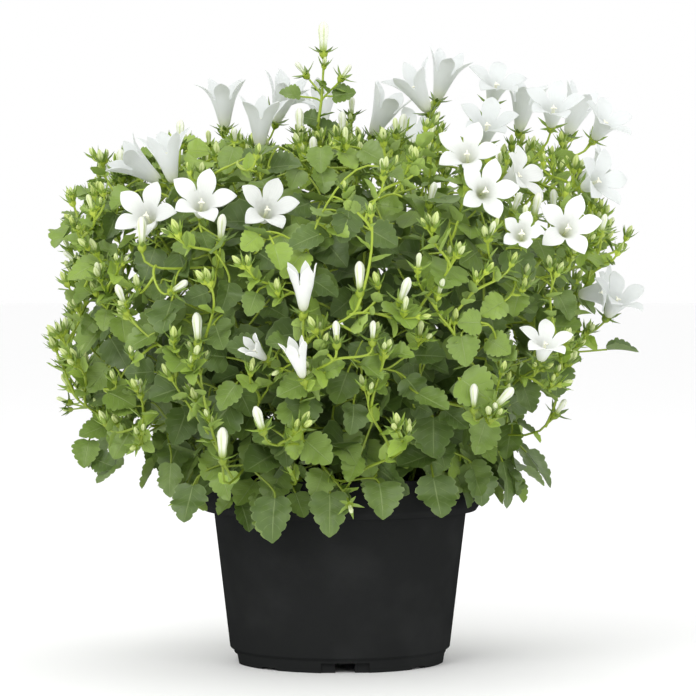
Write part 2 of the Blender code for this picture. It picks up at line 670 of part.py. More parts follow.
def fuse(name, solids, group, mat):
    """Joins overlapping closed solids into the one body of a node."""
    pieces = new_collection(name + " pieces")
    base = object_from(solids[0], name, group, mat)
    for k, bm in enumerate(solids[1:]):
        object_from(bm, f"{name}_piece_{k}", pieces)
    union = base.modifiers.new("union", "BOOLEAN")
    union.operation = "UNION"
    union.operand_type = "COLLECTION"
    union.collection = pieces
    union.solver = "EXACT"
    with bpy.context.temp_override(object=base, active_object=base, selected_objects=[base]):
        bpy.ops.object.modifier_apply(modifier="union")
    for ob in list(pieces.objects):
        bpy.data.meshes.remove(ob.data)
    bpy.data.collections.remove(pieces)
    bm = bmesh.new()
    bm.from_mesh(base.data)
    bmesh.ops.triangulate(bm, faces=bm.faces)
    drop_scraps(bm)
    clean_joints(bm)
    bm.to_mesh(base.data)
    bm.free()


def drop_scraps(bm):
    """Keeps only the largest of the bodies in bm."""
    bodies, seen = [], set()
    for start in bm.verts:
        if start in seen:
            continue
        body, front = {start}, [start]
        while front:
            here = front.pop()
            fresh = [v for v in (e.other_vert(here) for e in here.link_edges) if v not in body]
            body.update(fresh)
            front += fresh
        seen |= body
        bodies.append(body)
    bodies.sort(key=len)
    for body in bodies[:-1]:
        bmesh.ops.delete(bm, geom=list(body), context="VERTS")


def clean_joints(bm):
    """Takes out the short edges that the union leaves where stalks meet, and keeps the body closed."""
    merged = True
    while merged:
        merged = False
        short = [e for e in bm.edges if e.calc_length() < SHORTEST_EDGE * MM]
        for edge in sorted(short, key=lambda e: e.calc_length()):
            if not edge.is_valid:
                continue
            kept, gone = sorted(edge.verts, key=lambda v: -len(v.link_edges))
            round_kept, round_gone = ({e.other_vert(v) for e in v.link_edges} for v in (kept, gone))
            if len(round_kept & round_gone) == 2 and not turns_over(gone, kept):
                bmesh.ops.pointmerge(bm, verts=[kept, gone], merge_co=kept.co.copy())
                merged = True


def turns_over(gone, kept):
    """True if a face round gone would flip or fold were it drawn to kept."""
    for face in gone.link_faces:
        if kept not in face.verts:
            a, b, c = (kept.co if v == gone else v.co for v in face.verts)
            normal = (b - a).cross(c - a)
            if normal.length < 1e-12 or normal.normalized().dot(face.normal) < 0.2:
                return True
    return False


def surface_of(ob):
    """The finished surface of an object, as a bmesh in millimetres."""
    bm = bmesh.new()
    bm.from_object(ob, bpy.context.evaluated_depsgraph_get())
    bm.transform(Matrix.Scale(1 / MM, 4))
    return bm


def make_blooms(group, space):
    """Each open flower is a node of its own: a bell of one thin wall."""
    white = finish("petals", (0.86, 0.87, 0.84), 0.6)
    for name, place, azimuth, elevation, form in BLOOMS:
        outside = organ(add_bell, upright_frame(Vector(place), heading(azimuth, elevation)), form)
        space.add("bloom_" + name, outside)
        petals = object_from(outside, "bloom_" + name, group, white)
        wall = petals.modifiers.new("wall", "SOLIDIFY")
        wall.thickness = PETAL * MM
        wall.offset = -1


def make_shoots(group, space, plant, cups, buds):
    """Each shoot is one body: its stems with all cups, buds and leaves that they carry."""
    solids = {shoot: [] for shoot in plant.crowns}

    def keep(shoot, bm):
        space.add(shoot, bm)
        solids[shoot].append(bm)

    def keep_if_free(shoot, bm):
        if crosses_itself(bm) or space.meets(shoot, bm):
            bm.free()
        else:
            keep(shoot, bm)

    for line in plant.lines:
        if line.root_r == STEM_R:
            keep(line.shoot, organ(add_main_stem, line))
    for shoot, seat, axis, twig in cups:
        keep(shoot, organ(add_cup, twig, upright_frame(seat, axis), SEPAL))
    for shoot, foot, axis, length, twig in buds:
        keep_if_free(shoot, organ(add_cup, twig, upright_frame(foot, axis), BUD_SEPAL, length))
    for foot, along, face, length in leaf_places():
        shoot = plant.shoot_for(foot)
        twig = plant.grow_towards(shoot, foot, along, STALK_JOINTS, STALK_R, upright=0.5)
        if twig:
            keep_if_free(shoot, organ(add_leaf, twig, blade_frame(foot, along, face), length))
    green = finish("leaves and stems", (0.10, 0.19, 0.035), 0.55)
    for shoot, shapes in solids.items():
        fuse(shoot, shapes, group, green)


def main():
    clear_scene()
    group = new_collection("potted bellflower")
    pot = make_pot(group)
    plant, cups, buds = grow()
    space = Space()
    space.add("pot", surface_of(pot))
    make_blooms(group, space)
    make_shoots(group, space, plant, cups, buds)
    make_soil(group, plant.crowns)


main()
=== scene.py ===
# %% [markdown]
# A white bellflower in a black nursery pot.
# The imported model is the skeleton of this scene: the pot, the soil, fifteen rooted shoots and every
# open flower already stand at their real size and place. This file gives each of them its looks,
# with finer petals, veined leaves, buds and thin stems, which keep to the shape of the solids.

import random
from math import atan2, cos, degrees, pi, radians, sin, tau

import bmesh
import bpy
import numpy as np
from mathutils import Matrix, Quaternion, Vector, noise
from mathutils.bvhtree import BVHTree


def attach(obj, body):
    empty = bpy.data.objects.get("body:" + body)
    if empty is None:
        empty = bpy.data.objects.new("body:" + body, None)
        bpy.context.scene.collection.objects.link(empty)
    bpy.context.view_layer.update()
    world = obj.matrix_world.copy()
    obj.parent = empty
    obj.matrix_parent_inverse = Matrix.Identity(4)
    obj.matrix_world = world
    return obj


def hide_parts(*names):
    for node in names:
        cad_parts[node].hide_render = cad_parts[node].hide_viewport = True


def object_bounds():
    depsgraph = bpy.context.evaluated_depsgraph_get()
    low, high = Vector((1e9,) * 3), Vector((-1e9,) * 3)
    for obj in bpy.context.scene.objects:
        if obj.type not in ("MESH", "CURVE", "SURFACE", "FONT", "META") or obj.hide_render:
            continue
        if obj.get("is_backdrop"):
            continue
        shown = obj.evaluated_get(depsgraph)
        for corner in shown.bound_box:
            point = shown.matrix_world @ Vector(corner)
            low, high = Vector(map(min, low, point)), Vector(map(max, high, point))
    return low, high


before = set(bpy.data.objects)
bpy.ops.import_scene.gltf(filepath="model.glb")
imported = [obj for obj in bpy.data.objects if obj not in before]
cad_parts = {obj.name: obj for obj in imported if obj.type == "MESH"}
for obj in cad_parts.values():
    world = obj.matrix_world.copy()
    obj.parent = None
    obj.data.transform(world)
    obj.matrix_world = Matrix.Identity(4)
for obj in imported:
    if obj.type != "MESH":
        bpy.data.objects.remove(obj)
cad_box = [list(corner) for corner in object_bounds()]
MM = 0.001
print("the model reaches from", cad_box[0], "to", cad_box[1])

# %% [markdown]
# The camera comes first. The photograph was taken from over a metre away with a long lens, a little
# above the middle of the plant and almost level, so nothing looks stretched. The width that it
# shows at the pot's axis and its distance give the focal length.

# %% Camera
VIEW_DISTANCE, VIEW_HEIGHT = 1300.0, 162.0
VIEW_WIDTH = 296.1  # what the picture shows at the pot's axis
VIEW_ASIDE, VIEW_TILT = 3.4, 1.27
SENSOR = 36.0

lens = bpy.data.cameras.new("camera")
lens.sensor_width = SENSOR
lens.lens = SENSOR * VIEW_DISTANCE / VIEW_WIDTH
camera = bpy.data.objects.new("camera", lens)
camera.location = Vector((VIEW_ASIDE, -VIEW_DISTANCE, VIEW_HEIGHT)) * MM
camera.rotation_euler = (radians(90 - VIEW_TILT), 0, 0)
bpy.context.scene.collection.objects.link(camera)
bpy.context.scene.camera = camera
print("focal length", round(lens.lens), "mm")

# %% [markdown]
# A studio for a white flower on white: a pale floor, a white surround that fills the shadows, one
# large soft light from the upper left, a weaker one from the right and a faint one from above and
# behind. Big lights give the soft edges that the petals have in the photograph, and shade the black
# pot evenly.

# %% Floor and lights
FLOOR_WIDTH, FLOOR_WHITE = 40, (0.97, 0.97, 0.97, 1)
PLANT_MIDDLE = Vector((0, 0, 0.15))

bpy.ops.object.select_all(action="DESELECT")
bpy.ops.mesh.primitive_plane_add(size=FLOOR_WIDTH)
floor = bpy.context.object
floor.name = "floor"
floor_paint = bpy.data.materials.new("floor")
floor_paint.use_nodes = True
floor_surface = floor_paint.node_tree.nodes["Principled BSDF"]
floor_surface.inputs["Base Color"].default_value = FLOOR_WHITE
floor_surface.inputs["Roughness"].default_value = 0.8
floor.data.materials.append(floor_paint)
floor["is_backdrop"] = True

world = bpy.data.worlds.new("surround")
world.use_nodes = True
world.node_tree.nodes["Background"].inputs["Color"].default_value = (1, 1, 1, 1)
world.node_tree.nodes["Background"].inputs["Strength"].default_value = 1.0
bpy.context.scene.world = world
bpy.context.scene.view_settings.view_transform = "Standard"


def add_light(name, place, size, power):
    """A square soft light at place, in metres, that shines at the middle of the plant."""
    light = bpy.data.lights.new(name, "AREA")
    light.size = size
    light.energy = power
    ob = bpy.data.objects.new(name, light)
    ob.location = place
    ob.rotation_euler = (Vector(place) - PLANT_MIDDLE).to_track_quat("Z", "Y").to_euler()
    bpy.context.scene.collection.objects.link(ob)


add_light("key", (-0.7, -1.3, 1.1), 0.8, 12)
add_light("fill", (1.0, -1.2, 0.5), 1.0, 5)
add_light("top", (0.2, 0.4, 1.5), 0.8, 2)

# %% [markdown]
# Patterns on leaves and petals are sums of simple masks. This small class wraps a socket of a
# material, so that a mask can be written as a plain expression.

# %% Shader maths as expressions


class Wire:
    """An output of a node. Arithmetic on it adds the Math nodes that work it out."""

    def __init__(self, paint, socket):
        self.paint = paint
        self.socket = socket

    def maths(self, operation, *values):
        return self.paint.node("ShaderNodeMath", {"operation": operation}, *values)

    def __add__(self, other):
        return self.maths("ADD", self, other)

    def __sub__(self, other):
        return self.maths("SUBTRACT", self, other)

    def __rsub__(self, other):
        return self.maths("SUBTRACT", other, self)

    def __mul__(self, other):
        return self.maths("MULTIPLY", self, other)

    def __mod__(self, other):
        return self.maths("FLOORED_MODULO", self, other)

    def __abs__(self):
        return self.maths("ABSOLUTE", self)

    __radd__ = __add__
    __rmul__ = __mul__

    def larger(self, other):
        return self.maths("MAXIMUM", self, other)

    def between(self, low, high):
        """Rises smoothly from 0 at low to 1 at high, or falls where low is the greater."""
        flip = low > high
        low, high = sorted((low, high))
        rising = self.paint.node(
            "ShaderNodeMapRange", {"interpolation_type": "SMOOTHSTEP"}, self, low, high, 0.0, 1.0
        )
        return 1 - rising if flip else rising


print("a wire can be added, subtracted, multiplied, wrapped, compared and smoothed")

# %% [markdown]
# A material starts as Blender's own surface shader, and what is the same all over is set on its
# sockets. One method adds every other node. The short ones below it name what leaves, petals and
# buds need: a place, a map, a tone for each copy, noise, a bump, and light that comes through.

# %% Materials


class Paint:
    """A material whose nodes are added by one method."""

    def __init__(self, name, **constants):
        self.material = bpy.data.materials.new(name)
        self.material.use_nodes = True
        self.tree = self.material.node_tree
        self.surface = self.tree.nodes["Principled BSDF"]
        for socket, value in constants.items():
            self.surface.inputs[socket.replace("_", " ")].default_value = value

    def node(self, kind, settings, *values, out=0, **named):
        """Adds a node, makes its settings, then fills its sockets with numbers, colours or wires."""
        node = self.tree.nodes.new(kind)
        for key, value in settings.items():
            setattr(node, key, value)
        for key, value in [*enumerate(values), *named.items()]:
            socket = node.inputs[key.replace("_", " ") if isinstance(key, str) else key]
            if isinstance(value, Wire):
                self.tree.links.new(value.socket, socket)
            elif value is not None:
                socket.default_value = value
        return Wire(self, node.outputs[out])

    def set(self, socket, wire):
        self.tree.links.new(wire.socket, self.surface.inputs[socket])

    def mix(self, share, first, second):
        """Goes from the first colour to the second as share goes from 0 to 1."""
        numbers = [None] * 5  # the sockets of the node's other data types stay as they are
        return self.node("ShaderNodeMix", {"data_type": "RGBA"}, share, *numbers, first, second, out=2)

    def place(self):
        return self.node("ShaderNodeTexCoord", {}, out="Object")

    def split(self, vector):
        """The three numbers of a vector."""
        first = self.node("ShaderNodeSeparateXYZ", {}, vector)
        return [Wire(self, socket) for socket in first.socket.node.outputs]

    def uv(self):
        """The two coordinates of the piece's own map."""
        return self.split(self.node("ShaderNodeUVMap", {"uv_map": "UVMap"}))[:2]

    def tone(self):
        """A number that differs from copy to copy, kept on the mesh."""
        return self.node("ShaderNodeAttribute", {"attribute_name": "tone"}, out="Fac")

    def noise(self, scale, detail=2.0, place=None):
        return self.node("ShaderNodeTexNoise", {}, place or self.place(), None, scale, detail, out="Fac")

    def bump(self, height, distance, strength=1.0):
        self.set("Normal", self.node(
            "ShaderNodeBump", {}, Strength=strength, Distance=distance, Height=height
        ))

    def let_light_through(self, share, color):
        """Mixes in a share of light that comes through from behind, as thin leaves and petals do."""
        glow = self.node("ShaderNodeBsdfTranslucent", {}, color)
        body = Wire(self, self.surface.outputs[0])
        both = self.node("ShaderNodeMixShader", {}, share, body, glow)
        self.tree.links.new(both.socket, self.tree.nodes["Material Output"].inputs["Surface"])


def rgb(red, green, blue):
    """A colour as a picture gives it, from 0 to 255, brought to the linear values of a shader."""
    return (*(((c / 255 + 0.055) / 1.055) ** 2.4 for c in (red, green, blue)), 1.0)


print("white is", [round(c, 2) for c in rgb(250, 250, 250)])

# %% [markdown]
# The pot is moulded polypropylene, black and so finely grained that next to nothing mirrors in it,
# so its specular level is 0. A fine noise drives a small bump, and a coarser one makes it a little
# greyer where hands and benches have rubbed it. Soil is dark and rough, with paler fibres.

# %% Finishes of the pot and the soil


def pot_finish():
    paint = Paint("black satin plastic", Roughness=0.55, Specular_IOR_Level=0.0)
    wear = paint.noise(35, 3).between(0.45, 0.75)
    grain = paint.noise(2600, 2)
    paint.set("Base Color", paint.mix(wear, rgb(35, 36, 36), rgb(41, 42, 42)))
    paint.set("Roughness", 0.45 + 0.1 * wear)
    paint.bump(grain, 0.00008, 0.5)
    return paint.material


def soil_finish():
    paint = Paint("potting mix", Roughness=0.95, Specular_IOR_Level=0.2)
    crumbs = paint.noise(420, 4)
    fibres = paint.noise(1500, 2).between(0.6, 0.72)
    dark = paint.mix(crumbs.between(0.35, 0.7), rgb(32, 23, 16), rgb(74, 54, 38))
    paint.set("Base Color", paint.mix(0.6 * fibres, dark, rgb(128, 101, 74)))
    paint.bump(crumbs + 0.3 * fibres, 0.0012)
    return paint.material


POT_BLACK, SOIL_BROWN = pot_finish(), soil_finish()
print("finishes:", POT_BLACK.name, "and", SOIL_BROWN.name)

# %% [markdown]
# Leaf faces are grey-green when old and fresher when young, which the tone of each copy decides.
# Their map runs from -1 to 1 across, stored as 0 to 1, and from the stalk to the tip. The midrib is
# where the middle is near, and the side veins are stripes that climb towards the edge. Both are a
# little paler than the blade and sunk into it, and a thin pale line follows the toothed edge. Grey
# patches of painted sheen lie over the blade.

# %% Finishes of leaves and stems
VEIN_STEP = 0.17  # how far apart the side veins are, as a share of the leaf's length


def leaf_finish(name, old, ripe, young, vein, roughness):
    paint = Paint(name, Roughness=roughness, Specular_IOR_Level=0.45)
    across, along = paint.uv()
    aside = abs(across * 2 - 1)
    midrib = aside.between(0.06, 0.015)
    climb = (along - 0.30 * aside + 0.05 * aside * aside) % VEIN_STEP
    side_veins = abs(climb - VEIN_STEP / 2).between(0.012, 0.003)
    side_veins = side_veins * aside.between(0.85, 0.5) * along.between(0.9, 0.7)
    veins = midrib.larger(0.5 * side_veins)
    edge = aside.between(0.94, 1.0)
    mottle = paint.noise(260, 3)
    age = paint.tone() + 0.3 * (mottle - 0.5)
    blade = paint.mix(age.between(0.35, 0.95), paint.mix(age.between(-0.1, 0.45), old, ripe), young)
    # grey patches of painted sheen: a painted highlight over the blade
    bloom = paint.noise(110, 2).between(0.5, 0.8)
    blade = paint.mix(0.35 * bloom, blade, rgb(150, 166, 124))
    paint.set("Base Color", paint.mix((0.4 * veins).larger(0.4 * edge), blade, vein))
    paint.bump(0.4 * mottle - veins, 0.00025, 0.7)
    paint.let_light_through(0.24, young)
    return paint.material


def green_finish():
    """Stems, cups, sepals and unripe buds: fresh yellow-green, deeper low down in the plant."""
    paint = Paint("green stems", Roughness=0.45, Specular_IOR_Level=0.4)
    height = paint.split(paint.place())[2]
    up = (height + 0.03 * (paint.noise(60) - 0.5)).between(0.07, 0.17)
    stripe = paint.noise(900, 1)
    fresh = paint.mix(paint.tone(), rgb(128, 152, 42), rgb(192, 210, 80))
    paint.set("Base Color", paint.mix(up, rgb(118, 138, 34), fresh))
    paint.bump(stripe, 0.0001, 0.4)
    return paint.material


LEAF_FACE = leaf_finish(
    "leaf face", rgb(88, 110, 56), rgb(132, 158, 72), rgb(166, 194, 80), rgb(176, 195, 130), 0.42
)
LEAF_BACK = leaf_finish(
    "leaf back", rgb(118, 140, 80), rgb(148, 172, 90), rgb(172, 198, 100), rgb(186, 202, 142), 0.55
)
GREEN = green_finish()

# %% [markdown]
# Petals are white and thin. Towards the foot of the tube they turn pale yellow-green, and fine lines
# run along them. White on white would vanish, so flowers that stand clear of the plant, which their
# tone says, are painted a slightly greyer white, as painted shade. Closed buds go from green to white
# as they ripen, with five greener ribs and a green foot. The style in the middle of the flower is cream.

# %% Finishes of flowers and buds
PETAL_LINES, BUD_RIBS = 7, 5


def petal_finish():
    paint = Paint("white petal", Roughness=0.55, Specular_IOR_Level=0.3)
    across, along = paint.uv()
    lines = abs((across * PETAL_LINES) % 1.0 - 0.5).between(0.10, 0.0)
    foot = along.between(0.30, 0.02)
    # tone 0, for flowers that stand clear, gives a greyer white as painted shade
    white = paint.mix(paint.tone(), rgb(236, 239, 240), rgb(254, 255, 254))
    white = paint.mix(0.4 * lines, white, rgb(228, 232, 232))
    paint.set("Base Color", paint.mix(foot, white, rgb(240, 244, 214)))
    paint.bump(lines, 0.00012, 0.5)
    paint.let_light_through(0.45, rgb(246, 247, 245))
    return paint.material


def bud_finish():
    paint = Paint("bud", Roughness=0.5, Specular_IOR_Level=0.3)
    around, along = paint.uv()
    ribs = abs((around * BUD_RIBS) % 1.0 - 0.5).between(0.22, 0.06)
    ripe = paint.tone()
    stripe = paint.mix(ripe, rgb(210, 224, 132), rgb(246, 248, 238))
    ridge = paint.mix(ripe, rgb(168, 192, 72), rgb(220, 229, 182))
    body = paint.mix(ribs * along.between(1.1, 0.6), stripe, ridge)
    paint.set("Base Color", paint.mix(along.between(0.4, 0.0), body, rgb(166, 188, 82)))
    paint.bump(ribs, 0.0002, 0.4)
    paint.let_light_through(0.25, rgb(225, 232, 190))
    return paint.material


def style_finish():
    paint = Paint("cream style", Roughness=0.6)
    _, along = paint.uv()
    paint.set("Base Color", paint.mix(along, rgb(206, 214, 150), rgb(240, 239, 220)))
    return paint.material


PETAL_WHITE, BUD_SKIN, CREAM = petal_finish(), bud_finish(), style_finish()
FINISHES = [LEAF_FACE, LEAF_BACK, GREEN, BUD_SKIN, PETAL_WHITE, CREAM]
print("finishes:", [finish.name for finish in FINISHES])

# %% [markdown]
# Objects are added, chosen, settled and joined by Blender's own operators, with a few short names for
# what comes back often. Every piece is modelled in millimetres and ends in the same way: it is brought
# to metres, and gets its finishes and the node that it stands for.

# %% Working on objects


def choose(ob):
    """Makes ob the only selected object, and the active one."""
    bpy.ops.object.select_all(action="DESELECT")
    ob.select_set(True)
    bpy.context.view_layer.objects.active = ob


def add(primitive, **settings):
    """Adds one of Blender's primitives, which is then the only selected object."""
    bpy.ops.object.select_all(action="DESELECT")
    primitive(**settings)
    return bpy.context.object


def settle(ob):
    """Puts what an object's place, turn and scale say into its mesh."""
    choose(ob)
    bpy.ops.object.transform_apply(location=True, rotation=True, scale=True)


def join(parts):
    """Joins objects into the first of them."""
    choose(parts[0])
    for part in parts:
        part.select_set(True)
    bpy.ops.object.join()
    return parts[0]


def apply_modifier(ob, kind, **settings):
    """Adds a modifier, sets it up and applies it."""
    choose(ob)
    modifier = ob.modifiers.new(kind.lower(), kind)
    for key, value in settings.items():
        setattr(modifier, key, value)
    bpy.ops.object.modifier_apply(modifier=modifier.name)


def finish_piece(ob, nodes, slot, finishes, angle):
    """Brings a piece in millimetres to metres, and gives it its finishes and its ride.

    Its slot is not used.
    """
    ob.scale = (MM, MM, MM)
    settle(ob)
    bpy.ops.object.shade_smooth_by_angle(angle=radians(angle))
    ob.data.materials.clear()
    for finish in finishes:
        ob.data.materials.append(finish)
    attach(ob, "root")
    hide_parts(*nodes)


print("every piece ends with", finish_piece.__name__)

# %% [markdown]
# Round things are turned: a circle is added, and its ring of edges is extruded and resized from one
# point of the profile to the next, as one would do by hand. The face that fills the circle moves
# along and closes the far end, and the near end is filled last.

# %% Turning


def pick(ob, wanted):
    """Selects the vertices of the mesh in edit mode that wanted picks by their place."""
    bpy.ops.mesh.select_all(action="DESELECT")
    bm = bmesh.from_edit_mesh(ob.data)
    for v in bm.verts:
        v.select = wanted(v.co)
    bm.select_flush(True)
    bmesh.update_edit_mesh(ob.data)


def turn(name, profile, sides):
    """A closed solid from a profile of (radius, height) turned round Z."""
    (radius, height), *rest = profile
    ob = add(bpy.ops.mesh.primitive_circle_add, vertices=sides, radius=radius, fill_type="NGON")
    ob.name = name
    bpy.ops.object.mode_set(mode="EDIT")
    bpy.ops.mesh.select_all(action="SELECT")
    bpy.ops.transform.translate(value=(0, 0, height))
    for r, z in rest:
        bpy.ops.mesh.extrude_region_move(TRANSFORM_OT_translate={"value": (0, 0, z - height)})
        bpy.ops.transform.resize(value=(r / radius, r / radius, 1), center_override=(0, 0, z))
        radius, height = r, z
    bpy.ops.mesh.select_all(action="DESELECT")
    bpy.ops.mesh.select_non_manifold()
    bpy.ops.mesh.edge_face_add()
    bpy.ops.mesh.select_all(action="SELECT")
    bpy.ops.mesh.normals_make_consistent(inside=False)
    bpy.ops.object.mode_set(mode="OBJECT")
    return ob


print("round things start with", turn.__name__)

# %% [markdown]
# The pot has an upright rim band, a tapered body that meets it in a shadow line, and a foot ring
# with drainage notches. It is turned as one shell, from its floor up the inside, over the lip and
# down the outside to the foot. A bevel rounds its edges before the notches and holes are cut.

# %% Pot
RIM_R, POT_H = 60.0, 80.0
BAND_LOW, BAND_LOW_R, BAND_LIP = 67.0, 59.5, 1.6
SHADOW_H = 0.9  # of the groove between the band and the body
SHOULDER_Z, SHOULDER_R = 63.6, 53.6
BODY_LOW_Z, BODY_LOW_R = 6.4, 46.8
CHAMFER_W, CHAMFER_H = 1.6, 1.2
FOOT_R, FOOT_IN_R = 44.3, 40.4
WALL, FLOOR_LOW, FLOOR_TOP = 1.1, 4.6, 6.2
RECESS_W, RECESS_H, RECESS_DEPTH = 20.2, 4.2, 1.9
ARCH_W, ARCH_TOP = 8.1, 3.9
NOTCH_W, NOTCH_H = 8.5, 1.0
RECESS_TURN, NOTCH_TURN, DRAIN_TURN = 3.0, 48.0, 25.0
DRAIN_R, DRAIN_RING_R, DRAIN_SIDES, DRAIN_DEPTH = 4.2, 30.0, 32, 6.0
BLOCK_EDGE, PAST_FOOT = 0.5, 6.0  # cutting blocks have rounded edges and reach this far past the foot
POT_SIDES, POT_EDGE = 144, 0.35  # sides of the turned pot, and how far its edges are rounded


def heading(azimuth, elevation):
    """A direction, from its azimuth and elevation in degrees. 0 faces the front and 90 the right."""
    a, e = radians(azimuth), radians(elevation)
    return Vector((cos(e) * sin(a), -cos(e) * cos(a), sin(e)))


def cutting_block(width, top, inner_r, outer_r, azimuth):
    """A block with soft edges that cuts the foot ring from below, at azimuth round the pot."""
    middle = (0, -(inner_r + outer_r) / 2, (top - 1) / 2)
    block = add(bpy.ops.mesh.primitive_cube_add, size=1, location=middle)
    block.scale = (width, outer_r - inner_r, top + 1)
    settle(block)
    apply_modifier(block, "BEVEL", width=BLOCK_EDGE, segments=2)
    block.rotation_euler.z = radians(azimuth)
    settle(block)
    return block


def cut(ob, cutters):
    """Takes the cutters out of ob and removes them."""
    group = bpy.data.collections.new("cutters")
    for cutter in cutters:
        group.objects.link(cutter)
    apply_modifier(ob, "BOOLEAN", operation="DIFFERENCE", operand_type="COLLECTION", collection=group)
    for cutter in cutters:
        bpy.data.objects.remove(cutter)
    bpy.data.collections.remove(group)


def make_pot():
    pot = turn("nursery_pot", [
        (BODY_LOW_R - WALL, FLOOR_TOP), (SHOULDER_R - WALL, SHOULDER_Z + WALL),
        (BAND_LOW_R - WALL, BAND_LOW + 1), (RIM_R - WALL, POT_H), (RIM_R, POT_H), (BAND_LOW_R, BAND_LOW),
        (BAND_LOW_R - BAND_LIP, SHOULDER_Z + SHADOW_H), (SHOULDER_R, SHOULDER_Z),
        (BODY_LOW_R, BODY_LOW_Z), (BODY_LOW_R - CHAMFER_W, BODY_LOW_Z - CHAMFER_H),
        (FOOT_R, 0), (FOOT_IN_R, 0), (FOOT_IN_R, FLOOR_LOW),
    ], POT_SIDES)
    apply_modifier(pot, "BEVEL", width=POT_EDGE, segments=3, limit_method="ANGLE", angle_limit=radians(20))
    recess_floor, beyond, inside = FOOT_R - RECESS_DEPTH, FOOT_R + PAST_FOOT, FOOT_IN_R - PAST_FOOT
    cutters = []
    for k in range(4):
        turned = RECESS_TURN + 90 * k
        cutters.append(cutting_block(RECESS_W, RECESS_H, recess_floor, beyond, turned))
        cutters.append(cutting_block(ARCH_W, ARCH_TOP, inside, recess_floor + 1, turned))
        cutters.append(cutting_block(NOTCH_W, NOTCH_H, inside, beyond, NOTCH_TURN + 90 * k))
        place = heading(DRAIN_TURN + 90 * k, 0) * DRAIN_RING_R + Vector((0, 0, FLOOR_TOP))
        cutters.append(add(
            bpy.ops.mesh.primitive_cylinder_add, vertices=DRAIN_SIDES, radius=DRAIN_R, depth=DRAIN_DEPTH,
            location=place,
        ))
    cut(pot, cutters)
    finish_piece(pot, ["pot"], "pot_plastic", [POT_BLACK], angle=25)
    return pot


pot = make_pot()
print("the pot has", len(pot.data.polygons), "faces")

# %% [markdown]
# The root ball fills the pot. Its top is a crumbly surface, so it is turned with many rings there,
# and noise lifts each point a little. Loose crumbs of bark and grit, each a small ball pressed out of
# round, lie half sunk in it.

# %% Soil
SOIL_Z, SOIL_DOME, GAP = 72.0, 1.2, 0.3
SOIL_RINGS, SOIL_SIDES, SOIL_SEED = 22, 96, 5
SOIL_LUMPS, SOIL_LUMP_SCALE = 1.1, 0.16
SOIL_GRAINS, SOIL_GRAIN_SCALE = 0.7, 0.5
CRUMBS, CRUMB_R, CRUMB_SPREAD, CRUMB_LIFT = 260, (0.5, 1.5), 0.97, 0.2


def soil_height(x, y):
    """The height of the crumbly surface at a place."""
    dome = SOIL_DOME * (1 - (x * x + y * y) / BAND_LOW_R ** 2)
    lumps = SOIL_LUMPS * noise.noise(Vector((x, y, 0)) * SOIL_LUMP_SCALE)
    return SOIL_Z + dome + lumps + SOIL_GRAINS * noise.noise(Vector((x, y, 9)) * SOIL_GRAIN_SCALE)


def make_soil():
    wall = BAND_LOW_R - WALL - GAP
    rings = [(wall * k / SOIL_RINGS, SOIL_Z) for k in range(1, SOIL_RINGS + 1)]
    side = [(SHOULDER_R - WALL - GAP, SHOULDER_Z + WALL), (BODY_LOW_R - WALL - GAP, FLOOR_TOP + GAP)]
    soil = turn("potting_mix", rings + side, SOIL_SIDES)
    for v in soil.data.vertices:
        if v.co.z > SOIL_Z - 1:
            v.co.z = soil_height(v.co.x, v.co.y)
    parts = [soil]
    draw = random.Random(SOIL_SEED)
    for _ in range(CRUMBS):
        r, a = wall * CRUMB_SPREAD * draw.random() ** 0.5, draw.uniform(0, tau)
        x, y = r * cos(a), r * sin(a)
        parts.append(add(
            bpy.ops.mesh.primitive_ico_sphere_add, subdivisions=1, radius=draw.uniform(*CRUMB_R),
            location=(x, y, soil_height(x, y) + CRUMB_LIFT),
            rotation=[draw.uniform(0, tau) for _ in range(3)],
            scale=[draw.uniform(0.5, 1) for _ in range(3)],
        ))
    finish_piece(join(parts), ["soil"], "soil", [SOIL_BROWN], angle=60)
    return soil


soil = make_soil()
print("the soil has", len(soil.data.polygons), "faces")

# %% [markdown]
# The plant grows by the rule that shaped the solids. Each shoot has a main stem, and side stems run
# from its joints to the flowers, buds and leaves that are its own. The same named places go in, in
# millimetres, so every finer piece follows the solid that it stands for.

# %% Sizes of the stems and shape of the plant
STEM_R, TWIG_R, STALK_R = 1.25, 0.85, 0.6
STEM_JOINTS, TWIG_JOINTS, STALK_JOINTS = 6, 4, 3
MOST_BEND = 65.0  # the sharpest turn at a joint, in degrees
ROOT_SHIFT = 0.15  # a side stem leaves its parent this share of the way past a joint
STEM_ROOM, FLOWER_ROOM = 3.0, 2.0  # how far stems keep from other shoots' stems and from flowers
WAYS_TRIED, WAYS_A_JOINT = 36, 3
LEAVING, ARRIVING = 0.35, 0.33  # how far from its ends, as a share, a side stem's control points are
LONG_TWIG = 22.0  # shorter side stems have a joint less

# Shoots stand in two rings: how many, the ring's radius, the azimuth of its first shoot, and where
# a shoot that carries no flowers has its head, as (radius, height)
RINGS = {"in": (5, 11.0, 20.0, (34.0, 190.0)), "out": (10, 31.0, 0.0, (86.0, 168.0))}
INNER_R, INNER_SPREAD = 24.0, 0.27  # the inner ring's share of the plant widens with height

# Foliage envelope: (radius, height) of the leafy mass, from under the rim's edge to its flat top
ENVELOPE = [
    (66, 70), (82, 78), (100, 90), (111, 106), (117, 132),
    (118, 182), (111, 202), (94, 214), (55, 220), (0, 223),
]
GOLDEN_ANGLE = 137.508
UP = Vector((0, 0, 1))
print("envelope of the plant has", len(ENVELOPE), "points")

# %% [markdown]
# Every open flower and white bud has its own place, read from the photograph for the front of the
# plant and thought of for its back. A flower has one of four forms, from a bell that has just opened
# to a wide star.

